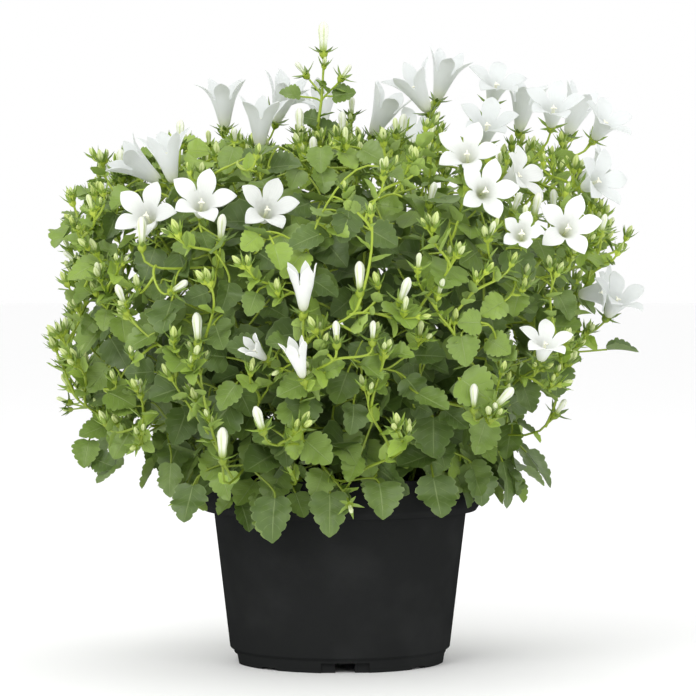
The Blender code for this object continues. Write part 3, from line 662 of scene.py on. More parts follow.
# %% Flowers and white buds
# Each form: tube length, throat radius, lobe length, lobe half width, lean of the lobes in degrees
FORMS = {
    "star": (10.0, 4.4, 10.2, 4.1, 62),
    "bell": (12.5, 4.7, 11.2, 3.4, 33),
    "half": (11.0, 3.7, 9.0, 2.7, 13),
    "cup": (7.0, 3.8, 6.0, 3.0, 50),
}
CUP_LENGTH, CUP_R = 3.2, 2.1  # the green ovary under a flower

# Open flowers: name, foot of the flower (x, y, z), azimuth and elevation that it faces, form
BLOOMS = [
    ("front_a", (-56, -68, 188), 5, 32, "star"),
    ("front_b", (-31, -66, 186), 14, 28, "star"),
    ("front_c", (-76, -55, 184), -14, 26, "star"),
    ("left_d", (-68, -50, 202), -50, 74, "bell"),
    ("left_e", (-75, -26, 203), -78, 36, "bell"),
    ("top_a", (-50, 28, 228), -20, 82, "bell"),
    ("top_b", (-34, -8, 218), 20, 82, "bell"),
    ("top_c", (-28, 36, 231), 40, 64, "bell"),
    ("top_d", (-30, 62, 238), 75, 40, "star"),
    ("top_e", (37, -12, 233), -60, 58, "bell"),
    ("top_f", (42, 22, 240), 50, 70, "bell"),
    ("top_g", (64, -2, 237), 20, 52, "star"),
    ("top_h", (14, 30, 225), 65, 62, "bell"),
    ("right_a", (52, -62, 208), -5, 30, "star"),
    ("right_b", (56, -84, 196), 10, 8, "star"),
    ("right_c", (60, -26, 219), 10, 48, "star"),
    ("right_d", (66, -50, 200), 55, 28, "star"),
    ("right_e", (77, 14, 226), 40, 76, "bell"),
    ("right_f", (88, -26, 226), 5, 48, "star"),
    ("right_g", (100, 46, 226), 60, 66, "bell"),
    ("right_h", (108, 0, 222), 38, 45, "star"),
    ("right_i", (100, -40, 200), 40, 16, "star"),
    ("right_j", (104, 30, 205), 85, 30, "star"),
    ("right_k", (90, -70, 180), 8, 18, "star"),
    ("right_l", (72, -90, 178), -2, 22, "cup"),
    ("side_a", (102, 6, 156), 70, 4, "star"),
    ("side_b", (111, -32, 147), 36, 48, "star"),
    ("low_a", (80, -86, 130), 18, 54, "star"),
    ("low_b", (-14, -110, 150), 0, 78, "half"),
    ("low_c", (-14, -114, 124), -40, 68, "half"),
    ("low_d", (-29, -100, 131), -38, 30, "half"),
    ("back_a", (32, 84, 222), 165, 45, "star"),
    ("back_b", (-8, 80, 230), 190, 66, "bell"),
    ("back_c", (-62, 74, 210), 215, 35, "star"),
    ("back_d", (-94, 34, 196), 250, 30, "star"),
    ("back_e", (76, 80, 204), 140, 30, "star"),
    ("back_f", (-32, 102, 180), 195, 20, "star"),
    ("back_g", (46, 104, 166), 155, 30, "star"),
]

# White buds: foot of the bud (x, y, z), azimuth and elevation, length
BUDS = [
    ((-7, 0, 259), 20, 88, 13.4), ((-15, 5, 250), -70, 50, 7), ((1, -5, 248), 60, 50, 7),
    ((-17, -12, 224), -10, 85, 11), ((-11, -35, 212), 0, 80, 10), ((-66, -34, 219), 10, 84, 10),
    ((-92, -8, 206), -30, 84, 12), ((1, -7, 224), 0, 80, 10), ((5, 8, 233), 20, 86, 8),
    ((-47, -88, 178), 20, 76, 11), ((-79, -78, 176), -10, 84, 12), ((26, -8, 222), 30, 78, 11),
    ((36, -84, 193), 40, 70, 9), ((70, -68, 190), 40, 60, 9), ((78, -78, 188), 30, 70, 10),
    ((88, -42, 190), 0, 88, 10), ((-44, -18, 220), 0, 60, 7), ((107, -52, 182), 30, 70, 8),
    ((8, -112, 158), -10, 84, 12), ((24, -111, 154), 35, 60, 11), ((-1, -115, 138), -15, 80, 9),
    ((13, -113, 139), 10, 80, 8), ((-30, -111, 104), -30, 60, 11), ((-46, -99, 92), 5, 80, 13),
    ((-56, -93, 138), -12, 80, 12), ((-66, -87, 158), 50, 25, 9), ((-86, -80, 153), -40, 60, 9),
    ((62, -97, 113), 50, 40, 11), ((53, -97, 112), 0, 80, 10), ((88, -60, 108), 50, 50, 8),
    ((-121, 56, 108), 262, 20, 6), ((-116, 34, 186), 262, 40, 6), ((-112, -8, 170), -80, 40, 7),
    ((4, -78, 72), 10, -30, 6), ((60, 88, 196), 150, 60, 11), ((-20, 108, 158), 190, 40, 10),
    ((-84, 68, 176), 225, 50, 11), ((24, 112, 140), 170, 40, 10), ((96, 62, 158), 125, 50, 10),
    ((-56, 96, 128), 205, 40, 9),
]
print(len(BLOOMS), "flowers and", len(BUDS), "white buds")

# %% [markdown]
# The leaves that the outline shows have places of their own too, and so have the large ones at the
# front, which give the plant its face. All others are spread evenly over the envelope, like seeds in
# a sunflower, so that no two stand in one line.

# %% Leaf places
# Leaves that give the plant its outline: foot (x, y, z), azimuth and elevation of the tip, length
OUTLINE_LEAVES = [
    ((-96, 20, 158), -100, -8, 19), ((-98, 30, 92), -100, -40, 17), ((-92, -20, 88), -70, -50, 15),
    ((-70, -34, 86), -50, -80, 14), ((-60, -52, 78), -30, -62, 16), ((-26, -68, 74), -15, -66, 18),
    ((-4, -70, 76), 0, -60, 18), ((16, -69, 80), 15, -58, 15), ((38, -62, 82), 20, -64, 18),
    ((56, -44, 84), 40, -66, 15), ((68, -24, 86), 70, -72, 19), ((80, 8, 88), 85, -50, 18),
    ((112, -20, 133), 84, 6, 13), ((-17, -2, 240), -80, 12, 9), ((-3, -3, 240), 80, 10, 10),
    ((-112, 10, 186), -85, 20, 8), ((40, 66, 82), 150, -60, 17), ((0, 74, 80), 180, -62, 17),
    ((-40, 64, 82), 212, -60, 17), ((78, 50, 90), 120, -50, 17), ((-78, 58, 92), 235, -50, 17),
]
# Leaves that stand out at the front: place (x, z) as seen before the pot's axis, which way the tip
# points, clockwise from straight up, length, tone
FRONT_LEAVES = [
    (-15, 179, 250, 14, 0.05), (3, 185, 190, 13, 0), (19, 180, 120, 13, 0.05), (22, 193, 100, 11, 0.45),
    (-38, 178, 230, 9.5, 0.7), (-26, 172, 160, 10.5, 0.65), (-61, 155, 250, 11, 0),
    (-48, 155, 190, 12, 0.05), (-37, 152, 200, 9.5, 0.2), (-6, 159, 120, 12.5, 0),
    (-20, 116, 250, 13.5, 0.3), (1, 116, 200, 14, 0.1), (-2, 125, 60, 8.5, 0.45), (14, 124, 120, 11, 0.3),
    (8, 131, 200, 9.5, 0), (27, 131, 90, 9, 0.5), (32, 116, 140, 11, 0.05), (6, 103, 180, 12, 0.05),
    (-48, 113, 220, 12, 0.25), (-28, 73, 200, 15, 0.2), (-31, 58, 190, 12, 0.4), (-3, 66, 200, 18, 0.2),
    (-40, 71, 215, 13, 0.35), (-40, 61, 160, 12, 0), (43, 72, 190, 17, 0.2), (58, 77, 160, 15, 0.15),
    (14, 73, 200, 10.5, 0.35), (-9, 89, 130, 14, 0.4), (-19, 90, 180, 8.5, 0.6), (32, 85, 250, 16, 0),
    (39, 93, 150, 15, 0.05), (68, 134, 120, 10.5, 0.5), (65, 150, 240, 12, 0.6), (75, 152, 200, 9.5, 0.5),
    (55, 144, 270, 10, 0.45), (38, 130, 90, 14, 0), (40, 110, 120, 14, 0.2), (40, 95, 180, 17, 0),
    (72, 93, 190, 15, 0.1), (80, 112, 160, 13, 0.1), (60, 95, 200, 15, 0.25), (96, 151, 150, 12, 0.15),
    (53, 132, 170, 12, 0.35), (-60, 217, 90, 10, 0.75), (-47, 213, 200, 12, 0.4), (-23, 211, 80, 13, 0),
    (-19, 205, 200, 9, 0.3), (-7, 204, 170, 10, 0.3), (-8, 213, 180, 11, 0.3), (4, 213, 150, 10, 0.65),
    (-18, 193, 250, 12, 0), (14, 215, 120, 11, 0.35), (-107, 142, 220, 8, 0.3), (-100, 145, 190, 9, 0.45),
    (-92, 141, 170, 10.5, 0.45), (-94, 131, 150, 15, 0), (-103, 120, 220, 13, 0.45),
    (-93, 112, 110, 13, 0.35), (-105, 98, 250, 13, 0.3), (-108, 88, 190, 12, 0.25), (-100, 84, 110, 10, 0),
    (-81, 169, 200, 14, 0), (-76, 156, 180, 9, 0.1), (-68, 99, 200, 15, 0), (-40, 110, 150, 12, 0.05),
    (-71, 86, 200, 16, 0.05), (-97, 185, 200, 11, 0.1), (-57, 178, 160, 9, 0.1),
    (-9, 75, 200, 12, 0.35), (-33, 66, 190, 11, 0.3), (-17, 66, 160, 11, 0.15), (6, 81, 200, 11, 0.4),
    (-49, 66, 230, 9, 0.4),
]
BEHIND_FLOWERS = 188.0  # leaves of this table above this height stand further back, behind the flowers
SLOPE_STEP = 300.0  # how far on, in the envelope's own measure, its slope is read
LEAF_SPOTS = 300  # evenly spread places for leaves on the envelope, counted from the rim upwards
LEAF_SEED = 41
LOW_LEAF, TOP_LEAF, TOP_Z = 18.5, 13.0, 195.0  # leaves are smaller above this height


def level_ways(azimuth):
    """The level ways out and aside at an azimuth."""
    return heading(azimuth, 0), heading(azimuth + 90, 0)


def envelope_spots(count, turned=0.0):
    """Places spread evenly over the envelope: the place, its slope, and the ways out, aside and off it."""
    lengths = [0.0]
    for (r0, z0), (r1, z1) in zip(ENVELOPE, ENVELOPE[1:]):
        lengths.append(lengths[-1] + (r0 + r1) / 2 * np.hypot(r1 - r0, z1 - z0))
    radii, heights = zip(*ENVELOPE)
    for i in range(count):
        share = (i + 0.5) / count * lengths[-1]
        r, z = np.interp(share, lengths, radii), np.interp(share, lengths, heights)
        beyond = share + SLOPE_STEP
        r_on, z_on = np.interp(beyond, lengths, radii), np.interp(beyond, lengths, heights)
        azimuth, slope = i * GOLDEN_ANGLE % 360, np.degrees(np.arctan2(r - r_on, max(z_on - z, 1e-3)))
        out, aside = level_ways(azimuth + turned)
        yield out * r + UP * z, slope, out, aside, out * cos(radians(slope)) + UP * sin(radians(slope))


print("leaf places are spread by the golden angle,", LEAF_SPOTS, "on the envelope")

# %% [markdown]
# Whatever grows stands in a frame of its own: a bud on its foot and upright along its axis, a leaf
# with its stalk at its foot and its face to the light. A stem is a smooth curve through four control
# points, which is thick at its root and thin at its tip.

# %% Frames and stems


def bezier(points, t):
    """The point at t on a cubic through four control points."""
    a, b, c, d = points
    s = 1 - t
    return s ** 3 * a + 3 * s * s * t * b + 3 * s * t * t * c + t ** 3 * d


def upright_frame(foot, axis):
    """Stands a shape on foot, with its +Z along axis."""
    return Matrix.Translation(foot) @ axis.to_track_quat("Z", "Y").to_matrix().to_4x4()


def blade_frame(foot, along, face):
    """Lays a shape from foot with its +Y along the blade and its +Z as near to face as it can be."""
    y = along.normalized()
    x = y.cross(face).normalized()
    return Matrix.Translation(foot) @ Matrix((x, y, x.cross(y))).transposed().to_4x4()


class Line:
    """A stem, side stem or stalk: a curve with a few joints, and its radius at root and tip."""

    def __init__(self, shoot, controls, joints, root_r, tip_r):
        self.shoot = shoot
        self.controls = controls
        self.joints = joints
        self.root_r = root_r
        self.tip_r = tip_r
        self.points = [bezier(controls, i / joints) for i in range(joints + 1)]

    def samples(self, spacing=1.5):
        """Points along the whole curve, close enough together to measure its distance from others."""
        count = max(4, int((self.points[-1] - self.points[0]).length / spacing))
        return [bezier(self.controls, i / count) for i in range(count + 1)]

    def bends_gently(self, axis):
        """True if no joint turns sharply, nor what stands along axis on its tip."""
        ways = [(b - a).normalized() for a, b in zip(self.points, self.points[1:])] + [axis]
        return all(a.dot(b) > cos(radians(MOST_BEND)) for a, b in zip(ways, ways[1:]))

    def tangent(self, i):
        before, after = self.points[max(i - 1, 0)], self.points[min(i + 1, self.joints)]
        return (after - before).normalized()


print("a level heading of 90 degrees is", tuple(round(c, 2) for c in heading(90, 0)))

# %% [markdown]
# Side stems grow by one rule. Each tries the nearest joints of its own shoot, and takes the first way
# that turns gently and keeps clear of other shoots' stems, of the open flowers and of the pot's rim.

# %% Growth rule


class Plant:
    """Grows the shoots towards flowers, buds and leaves, keeping each shoot clear of the others."""

    def __init__(self, flowers):
        self.flowers = flowers  # a search tree over the open flowers
        self.crowns, self.rings, self.lines, self.clouds = {}, {}, [], {}
        for ring, (count, radius, turn, _) in RINGS.items():
            for k in range(count):
                azimuth = turn + 360 * k / count
                self.rings[f"shoot_{ring}_{k:02d}"] = (ring, azimuth)
                self.crowns[f"shoot_{ring}_{k:02d}"] = heading(azimuth, 0) * radius

    def shoot_for(self, place):
        """The shoot whose share of the plant holds this place."""
        azimuth = np.degrees(np.arctan2(place.x, -place.y))
        inner = place.xy.length < INNER_R + INNER_SPREAD * (place.z - SOIL_Z)
        names = [name for name, (ring, _) in self.rings.items() if ring == ("in" if inner else "out")]
        return min(names, key=lambda name: abs((azimuth - self.rings[name][1] + 180) % 360 - 180))

    def is_clear(self, line, near_tip):
        """True if the line keeps off the other shoots' stems, the flowers and the pot's rim.

        Within near_tip of its own tip a line may be close to a flower, because it carries one.
        """
        points = line.samples()
        mine = np.array(points)
        for name, cloud in self.clouds.items():
            apart = np.linalg.norm(mine[:, None] - cloud[None], axis=2).min()
            if name != line.shoot and apart < STEM_ROOM:
                return False
        for p in points:
            meets_flower = self.flowers.find_nearest(p, FLOWER_ROOM)[0] is not None
            if meets_flower and (p - line.points[-1]).length > near_tip:
                return False
            if 50 < p.xy.length < RIM_R + 1.5 and p.z < POT_H + 2:
                return False
        return True

    def keep(self, line):
        self.lines.append(line)
        points = np.array(line.samples())
        old = self.clouds.get(line.shoot)
        self.clouds[line.shoot] = points if old is None else np.vstack([old, points])

    def grow_main_stem(self, shoot, head):
        """The main stem, upright out of the soil and bending outwards to the shoot's head."""
        foot = self.crowns[shoot] + Vector((0, 0, SOIL_Z + 1.5))
        out = heading(self.rings[shoot][1], 0)
        reach = (head - foot).length
        leaving = foot + (UP * 0.35 + out * 0.06) * reach
        arriving = head - (out * 0.25 + UP).normalized() * reach * 0.35
        self.keep(Line(shoot, (foot, leaving, arriving, head), STEM_JOINTS, STEM_R, TWIG_R))

    def grow_towards(self, shoot, foot, axis, joints, near_tip=0.0):
        """A side stem from a joint of the shoot to foot, arriving along axis, or None if none is free.

        Short ways that turn little are tried first, each straight and then with two random sways.
        """
        starts = []
        for line in self.lines:
            if line.shoot != shoot:
                continue
            for i in range(1, line.joints):
                way = foot - line.points[i]
                lean = way.normalized().dot(line.tangent(i) + axis) + way.normalized().z * 0.3
                starts.append((way.length * (2.0 - 0.6 * lean), len(starts), line, i))
        starts.sort()
        draw = random.Random(round(foot.x * 7 + foot.y * 13 + foot.z * 17))
        for turn in range(WAYS_TRIED):
            _, _, line, i = starts[min(turn // WAYS_A_JOINT, len(starts) - 1)]
            root = line.points[i].lerp(line.points[i + 1], ROOT_SHIFT)
            way = foot - root
            sways = min(turn % WAYS_A_JOINT, 1)
            sway = Vector([draw.uniform(-1, 1) for _ in range(3)]) * way.length * 0.25 * sways
            first_way = (line.tangent(i) + way.normalized()).normalized()
            leaving = root + first_way * way.length * LEAVING
            arriving = foot - axis * way.length * ARRIVING
            enough = joints if way.length > LONG_TWIG else max(2, joints - 1)
            twig = Line(shoot, (root, leaving + sway, arriving, foot), enough, TWIG_R, STALK_R)
            if twig.bends_gently(axis) and self.is_clear(twig, near_tip):
                self.keep(twig)
                return twig
        return None


print("side stems leave their parent", ROOT_SHIFT, "of the way past a joint")

# %% [markdown]
# The leaves that the solids have hang from the same places as there. Their blades lean out and down,
# like tiles on a roof, and lie flatter towards the top of the plant.

# %% Leaves of the envelope


def leaf_places():
    """Every leaf: foot, way of the tip, way that its face looks, length."""
    for place, azimuth, elevation, length in OUTLINE_LEAVES:
        face = heading(azimuth, 0) + UP * (0.35 if elevation < -30 else 1.4)
        yield Vector(place), heading(azimuth, elevation), face, length
    draw = random.Random(LEAF_SEED)
    for place, slope, out, aside, normal in envelope_spots(LEAF_SPOTS):
        depth, turn, twist, size = (draw.uniform(-1, 1) for _ in range(4))
        along = (out * 0.7 - UP * (0.75 - 0.6 * max(0, slope) / 90) + aside * turn * 0.9).normalized()
        face = normal + UP * 0.35 + aside * 0.3 * twist
        length = (LOW_LEAF if place.z < TOP_Z else TOP_LEAF) + 2 * size
        yield place - normal * (4 + 5 * depth) - along * length * 0.6, along, face, length


print("leaf places in all:", len(list(leaf_places())))

# %% [markdown]
# Leaves, buds and petals repeat many times, so each organ is modelled once, and its copies are
# gathered into the mesh of the piece that they belong to. An organ keeps its points, faces, finishes
# and map as arrays, which makes hundreds of copies quick to place, each bent a little otherwise.

# %% Organs


class Organ:
    """A modelled shape, read into arrays so that it can be copied into a piece."""

    def __init__(self, ob, finishes):
        mesh = ob.data
        self.points = np.zeros(len(mesh.vertices) * 3)
        mesh.vertices.foreach_get("co", self.points)
        self.points = self.points.reshape(-1, 3)
        self.corners = np.zeros(len(mesh.loops), int)
        mesh.loops.foreach_get("vertex_index", self.corners)
        self.sizes = np.array([len(face.vertices) for face in mesh.polygons])
        self.finishes = np.array([FINISHES.index(finishes[face.material_index]) for face in mesh.polygons])
        self.map = np.zeros(len(mesh.loops) * 2)
        if mesh.uv_layers:
            mesh.uv_layers[0].uv.foreach_get("vector", self.map)
        self.map = self.map.reshape(-1, 2)
        bpy.data.objects.remove(ob)


def map_round(ob, height):
    """Gives a turned shape a map that runs round it and up it."""
    mesh = ob.data
    sheet = mesh.uv_layers[0] if mesh.uv_layers else mesh.uv_layers.new(name="UVMap")
    for face in mesh.polygons:
        middle = atan2(face.center.y, face.center.x) / tau
        for corner in face.loop_indices:
            place = mesh.vertices[mesh.loops[corner].vertex_index].co
            around = atan2(place.y, place.x) / tau
            around += round(middle - around)
            sheet.uv[corner].vector = (around, place.z / height)


print("finishes that an organ can have:", len(FINISHES))

# %% [markdown]
# A piece gathers copies of organs, each with its own points and its own tone. When all are in, it
# becomes one mesh, which is brought to metres, gets the finishes that it uses and takes the place of
# its node.

# %% Pieces


class Piece:
    """A piece of the plant in the making: copies of organs, gathered in millimetres."""

    def __init__(self, name):
        self.name = name
        self.points, self.corners, self.sizes, self.finishes, self.maps, self.tones = [], [], [], [], [], []
        self.count = 0

    def add(self, organ, points, tone=0.5):
        """Adds a copy of an organ with its points moved to new places."""
        self.points.append(points)
        self.corners.append(organ.corners + self.count)
        self.sizes.append(organ.sizes)
        self.finishes.append(organ.finishes)
        self.maps.append(organ.map)
        self.tones.append(np.full(len(points), tone))
        self.count += len(points)

    def build(self, nodes, slot, angle):
        """Makes the mesh, in metres, and lets it stand for the nodes."""
        points, corners, sizes, finishes, maps, tones = map(
            np.concatenate, (self.points, self.corners, self.sizes, self.finishes, self.maps, self.tones)
        )
        mesh = bpy.data.meshes.new(self.name)
        mesh.vertices.add(len(points))
        mesh.vertices.foreach_set("co", points.ravel())
        mesh.loops.add(len(corners))
        mesh.loops.foreach_set("vertex_index", corners)
        mesh.polygons.add(len(sizes))
        mesh.polygons.foreach_set("loop_start", np.concatenate([[0], np.cumsum(sizes)[:-1]]))
        mesh.uv_layers.new(name="UVMap").uv.foreach_set("vector", maps.ravel())
        mesh.attributes.new("tone", "FLOAT", "POINT").data.foreach_set("value", tones)
        mesh.update(calc_edges=True)
        ob = bpy.data.objects.new(self.name, mesh)
        bpy.context.scene.collection.objects.link(ob)
        used = sorted(set(finishes))
        finish_piece(ob, nodes, slot, [FINISHES[k] for k in used], angle)
        mesh.polygons.foreach_set("material_index", np.searchsorted(used, finishes))
        return ob


print("a new piece holds", Piece("empty").count, "points")

# %% [markdown]
# A leaf is a thin sheet, longer than wide, with a heart-shaped foot, a pointed tip and a few blunt
# teeth on each side. It starts as a grid. Each row is brought down to its place on the leaf, drawn
# out to the width there, and its ends are pushed towards the tooth that they make. The sheet is then
# doubled, the copy is sunk and turned over, and the two are merged along the edge.

# %% Leaves
BLADE = 0.02  # thickness of a leaf that is 1 long
FIRST_TOOTH, LAST_TOOTH, TOOTH_LEAN = 0.03, 0.95, 0.02
HEART = 0.10  # how far the lobes at the foot reach back
GRID_AWAY = 20.0  # a grid starts this far off, so that its rows can be told from those in place


def toothed_rows(teeth, tooth, broad=0.52):
    """Rows from the stalk to the tip: the rib's place, half the width, the edge's place.

    A tooth is some places along it, from 0 to 1, each with how far it stands out. It leans forwards.
    """
    rows = [(0.0, 0.03, 0.0)]
    for k in range(teeth):
        for share, out in tooth:
            t = FIRST_TOOTH + (LAST_TOOTH - FIRST_TOOTH) * (k + share) / teeth
            half = broad * sin(pi * t ** 0.62) ** 0.75 + out
            rows.append((t, half, t + TOOTH_LEAN - HEART * max(0, 1 - t / 0.2)))
    return rows + [(1.0, 0.02, 1.0)]


def add_grid(columns, rows):
    """A grid in edit mode, away from the origin, whose rows bring_row then brings to their places."""
    ob = add(bpy.ops.mesh.primitive_grid_add, x_subdivisions=columns, y_subdivisions=rows, size=2)
    bpy.ops.object.mode_set(mode="EDIT")
    bpy.ops.transform.translate(value=(0, GRID_AWAY, 0))
    return ob


def bring_row(ob, row, rows, middle, half, edge_shift, inner_shift):
    """Brings a row of a grid to its place, draws it out, and shifts its ends and its inner points."""
    y = GRID_AWAY - 1 + 2 * row / (rows - 1)
    pick(ob, lambda co: abs(co.y - y) < 0.01 / rows)
    bpy.ops.transform.translate(value=(middle[0], middle[1] - y, middle[2]))
    bpy.ops.transform.resize(value=(half, 1, 1), center_override=middle)

    def in_row(co):
        return abs(co.y - middle[1]) < 1e-4 and abs(co.z - middle[2]) < 1e-4

    pick(ob, lambda co: in_row(co) and 0.2 * half < abs(co.x) < 0.8 * half)
    bpy.ops.transform.translate(value=inner_shift)
    pick(ob, lambda co: in_row(co) and abs(co.x) > 0.8 * half)
    bpy.ops.transform.translate(value=edge_shift)


def double_sheet(ob, thickness):
    """Turns an open sheet in edit mode into a closed thin blade with a sharp edge."""
    bpy.ops.mesh.select_all(action="SELECT")
    bpy.ops.mesh.normals_make_consistent(inside=False)
    bpy.ops.mesh.duplicate()
    bpy.ops.mesh.flip_normals()
    bm = bmesh.from_edit_mesh(ob.data)
    for face in bm.faces:
        if face.select:
            face.material_index = 1
    bmesh.update_edit_mesh(ob.data)
    bpy.ops.mesh.region_to_loop()
    edge = {tuple(round(c, 6) for c in v.co) for v in bm.verts if v.select}
    for v in bm.verts:
        v.select = False
    for face in bm.faces:
        face.select = face.material_index == 1
    for v in bm.verts:
        if tuple(round(c, 6) for c in v.co) in edge:
            v.select = False
    bm.select_flush_mode()
    bmesh.update_edit_mesh(ob.data)
    bpy.ops.transform.translate(value=(0, 0, -thickness))
    bpy.ops.mesh.select_all(action="SELECT")
    bpy.ops.mesh.remove_doubles(threshold=1e-5)


def make_blade(rows, columns):
    """A leaf 1 long on the XY plane, its stalk at the origin and its tip along +Y."""
    ob = add_grid(columns, len(rows) - 1)
    for k, (rib, half, edge) in enumerate(rows):
        aside = edge - rib
        bring_row(ob, k, len(rows), (0, rib, 0), half, (0, aside, 0), (0, 0.4 * aside, 0))
    double_sheet(ob, BLADE)
    bpy.ops.object.mode_set(mode="OBJECT")
    ob.data.materials.append(LEAF_FACE)
    ob.data.materials.append(LEAF_BACK)
    return Organ(ob, [LEAF_FACE, LEAF_BACK])


LEAF = make_blade(toothed_rows(5, ((0.0, -0.05), (0.3, 0.02), (0.75, 0.03))), 4)
SPARE_LEAF = make_blade(toothed_rows(4, ((0.0, -0.02), (0.6, 0.02))), 2)
YOUNG_LEAF = make_blade(toothed_rows(2, ((0.15, -0.02), (0.7, 0.03)), 0.36), 2)
print("faces of the leaves:", [len(organ.sizes) for organ in (LEAF, SPARE_LEAF, YOUNG_LEAF)])

# %% [markdown]
# Under every flower and bud sits a small green cup, the ovary, with five narrow sepals that spread
# like a star. A closed flower is a club with five ribs that stands in the cup, white when it is
# nearly ready to open, and a short green knob long before.

# %% Cups and buds
PLAIN_PATCH = [0.25, 0.95]  # a place on a leaf's map that no vein crosses
BUD_PROFILE = [
    (0.11, 0.0), (0.135, 0.14), (0.14, 0.32), (0.17, 0.52), (0.19, 0.70), (0.16, 0.86), (0.08, 0.97),
    (0.015, 1.0),
]
KNOB_PROFILE = [(0.08, 0.0), (0.2, 0.14), (0.26, 0.40), (0.24, 0.62), (0.14, 0.86), (0.02, 1.0)]
RIB_DEPTH = 0.86  # the grooves of a bud have this share of its radius
SEPAL_FLAT, SEPAL_WAIST, SEPAL_BROADER = 0.45, 0.45, 1.5  # a sepal is flat, and broader halfway up


def rib(ob, share):
    """Draws in every other upright line of a turned shape, so that ribs stand out."""
    choose(ob)
    bpy.ops.object.mode_set(mode="EDIT")
    step = tau / 10
    pick(ob, lambda co: round((atan2(co.y, co.x) - tau / 4) / step) % 2 == 1)
    bpy.ops.transform.resize(value=(share, share, 1), center_override=(0, 0, 0))
    bpy.ops.object.mode_set(mode="OBJECT")


def make_bud(profile, sides, finish):
    """A closed flower 1 long that stands on the origin."""
    ob = turn("bud", profile, sides)
    if sides == 10:
        rib(ob, RIB_DEPTH)
    map_round(ob, 1.0)
    return Organ(ob, [finish])


def make_cup(sepal_length, sides, lean):
    """The cup with its five sepals, its rim on the XY plane. The sepals lean out from upright."""
    cup = turn("cup", [(STALK_R * 0.8, -CUP_LENGTH), (CUP_R * 0.8, -CUP_LENGTH * 0.55), (CUP_R, 0.2)], sides)
    cup.data.materials.append(GREEN)
    parts = [cup]
    for k in range(5):
        sepal = add(
            bpy.ops.mesh.primitive_cone_add, vertices=4, radius1=1.0, radius2=0.05, depth=1,
            location=(0, 0, 0.5),
        )
        sepal.data.materials.append(LEAF_FACE)
        settle(sepal)
        bpy.ops.object.mode_set(mode="EDIT")
        bpy.ops.mesh.select_all(action="SELECT")
        bpy.ops.transform.resize(value=(SEPAL_FLAT, 1, sepal_length), center_override=(0, 0, 0))
        bpy.ops.mesh.bisect(plane_co=(0, 0, sepal_length * SEPAL_WAIST), plane_no=(0, 0, 1))
        bpy.ops.transform.resize(value=(1, SEPAL_BROADER, 1), center_override=(0, 0, 0))
        bpy.ops.transform.translate(value=(0.25, 0, 0))
        bpy.ops.object.mode_set(mode="OBJECT")
        sepal.data.uv_layers[0].uv.foreach_set("vector", PLAIN_PATCH * len(sepal.data.loops))
        sepal.rotation_euler = (0, radians(lean), 0)
        sepal.location = (CUP_R * 0.7, 0, -0.2)
        settle(sepal)
        sepal.rotation_euler = (0, 0, tau * k / 5)
        settle(sepal)
        parts.append(sepal)
    return Organ(join(parts), [GREEN, LEAF_FACE])


WHITE_BUD, KNOB = make_bud(BUD_PROFILE, 10, BUD_SKIN), make_bud(KNOB_PROFILE, 5, BUD_SKIN)
CUP, SMALL_CUP, YOUNG_CUP = make_cup(5.8, 10, 66), make_cup(5.4, 5, 58), make_cup(6.2, 5, 34)
print("faces of cups and buds:", [len(organ.sizes) for organ in (CUP, SMALL_CUP, YOUNG_CUP, WHITE_BUD, KNOB)])

# %% [markdown]
# An open flower is one sheet: a tube whose five lobes part at the throat. One fifth of it starts as a
# grid, whose rows are brought up the tube and out along the lobe. Four more fifths are copies turned
# round the axis, merged where the tube closes, then subdivided and given a thin wall. The style in
# the middle is turned, with three small lobes on top.

# %% Open flowers
PETAL_WALL = 0.4
TUBE = [(0.1, 0.0), (0.44, 0.06), (0.60, 0.30), (0.80, 0.62), (1.12, 1.0)]  # shares of throat and tube
LOBE = [(0.13, 0.80), (0.27, 0.95), (0.43, 1.0), (0.60, 0.90), (0.76, 0.67), (0.90, 0.33), (1.0, 0.02)]
TROUGH = 0.16  # how far a lobe's edges rise from its middle, as a share of half its width


def petal_rows(form):
    """Rows of one fifth: middle, half width, shift of the ends, shift of the inner points."""
    tube, throat, lobe, half, lean = FORMS[form]
    for r, z in ((throat * a, tube * b) for a, b in TUBE):
        back = (1 - cos(tau / 10)) * r
        yield (0, -r, z), r * sin(tau / 10), (0, back, 0), (0, 0.26 * back, 0)
    r, z, last = throat * TUBE[-1][0], tube, 0.0
    for u, share in LOBE:
        a = radians(lean) * (0.45 + 0.55 * (u + last))
        r += sin(a) * lobe * (u - last)
        z += cos(a) * lobe * (u - last)
        last = u
        lift = TROUGH * half * share
        edge = (0, cos(a) * lift, sin(a) * lift)
        yield (0, -r, z), half * share, edge, tuple(0.3 * c for c in edge)


def make_corolla(form):
    """The white flower of a form, its foot on the origin and its mouth upwards."""
    rows = list(petal_rows(form))
    ob = add_grid(4, len(rows) - 1)
    for k, (middle, half, edge, inner) in enumerate(rows):
        bring_row(ob, k, len(rows), middle, half, edge, inner)
    bpy.ops.mesh.select_all(action="SELECT")
    for _ in range(4):
        bpy.ops.mesh.duplicate()
        bpy.ops.transform.rotate(value=tau / 5, orient_axis="Z", center_override=(0, 0, 0))
    bpy.ops.mesh.select_all(action="SELECT")
    bpy.ops.mesh.remove_doubles(threshold=0.02)
    bpy.ops.mesh.normals_make_consistent(inside=False)
    bpy.ops.object.mode_set(mode="OBJECT")
    apply_modifier(ob, "SUBSURF", levels=1, render_levels=1, uv_smooth="NONE")
    apply_modifier(ob, "SOLIDIFY", thickness=PETAL_WALL, offset=0)
    return Organ(ob, [PETAL_WHITE])


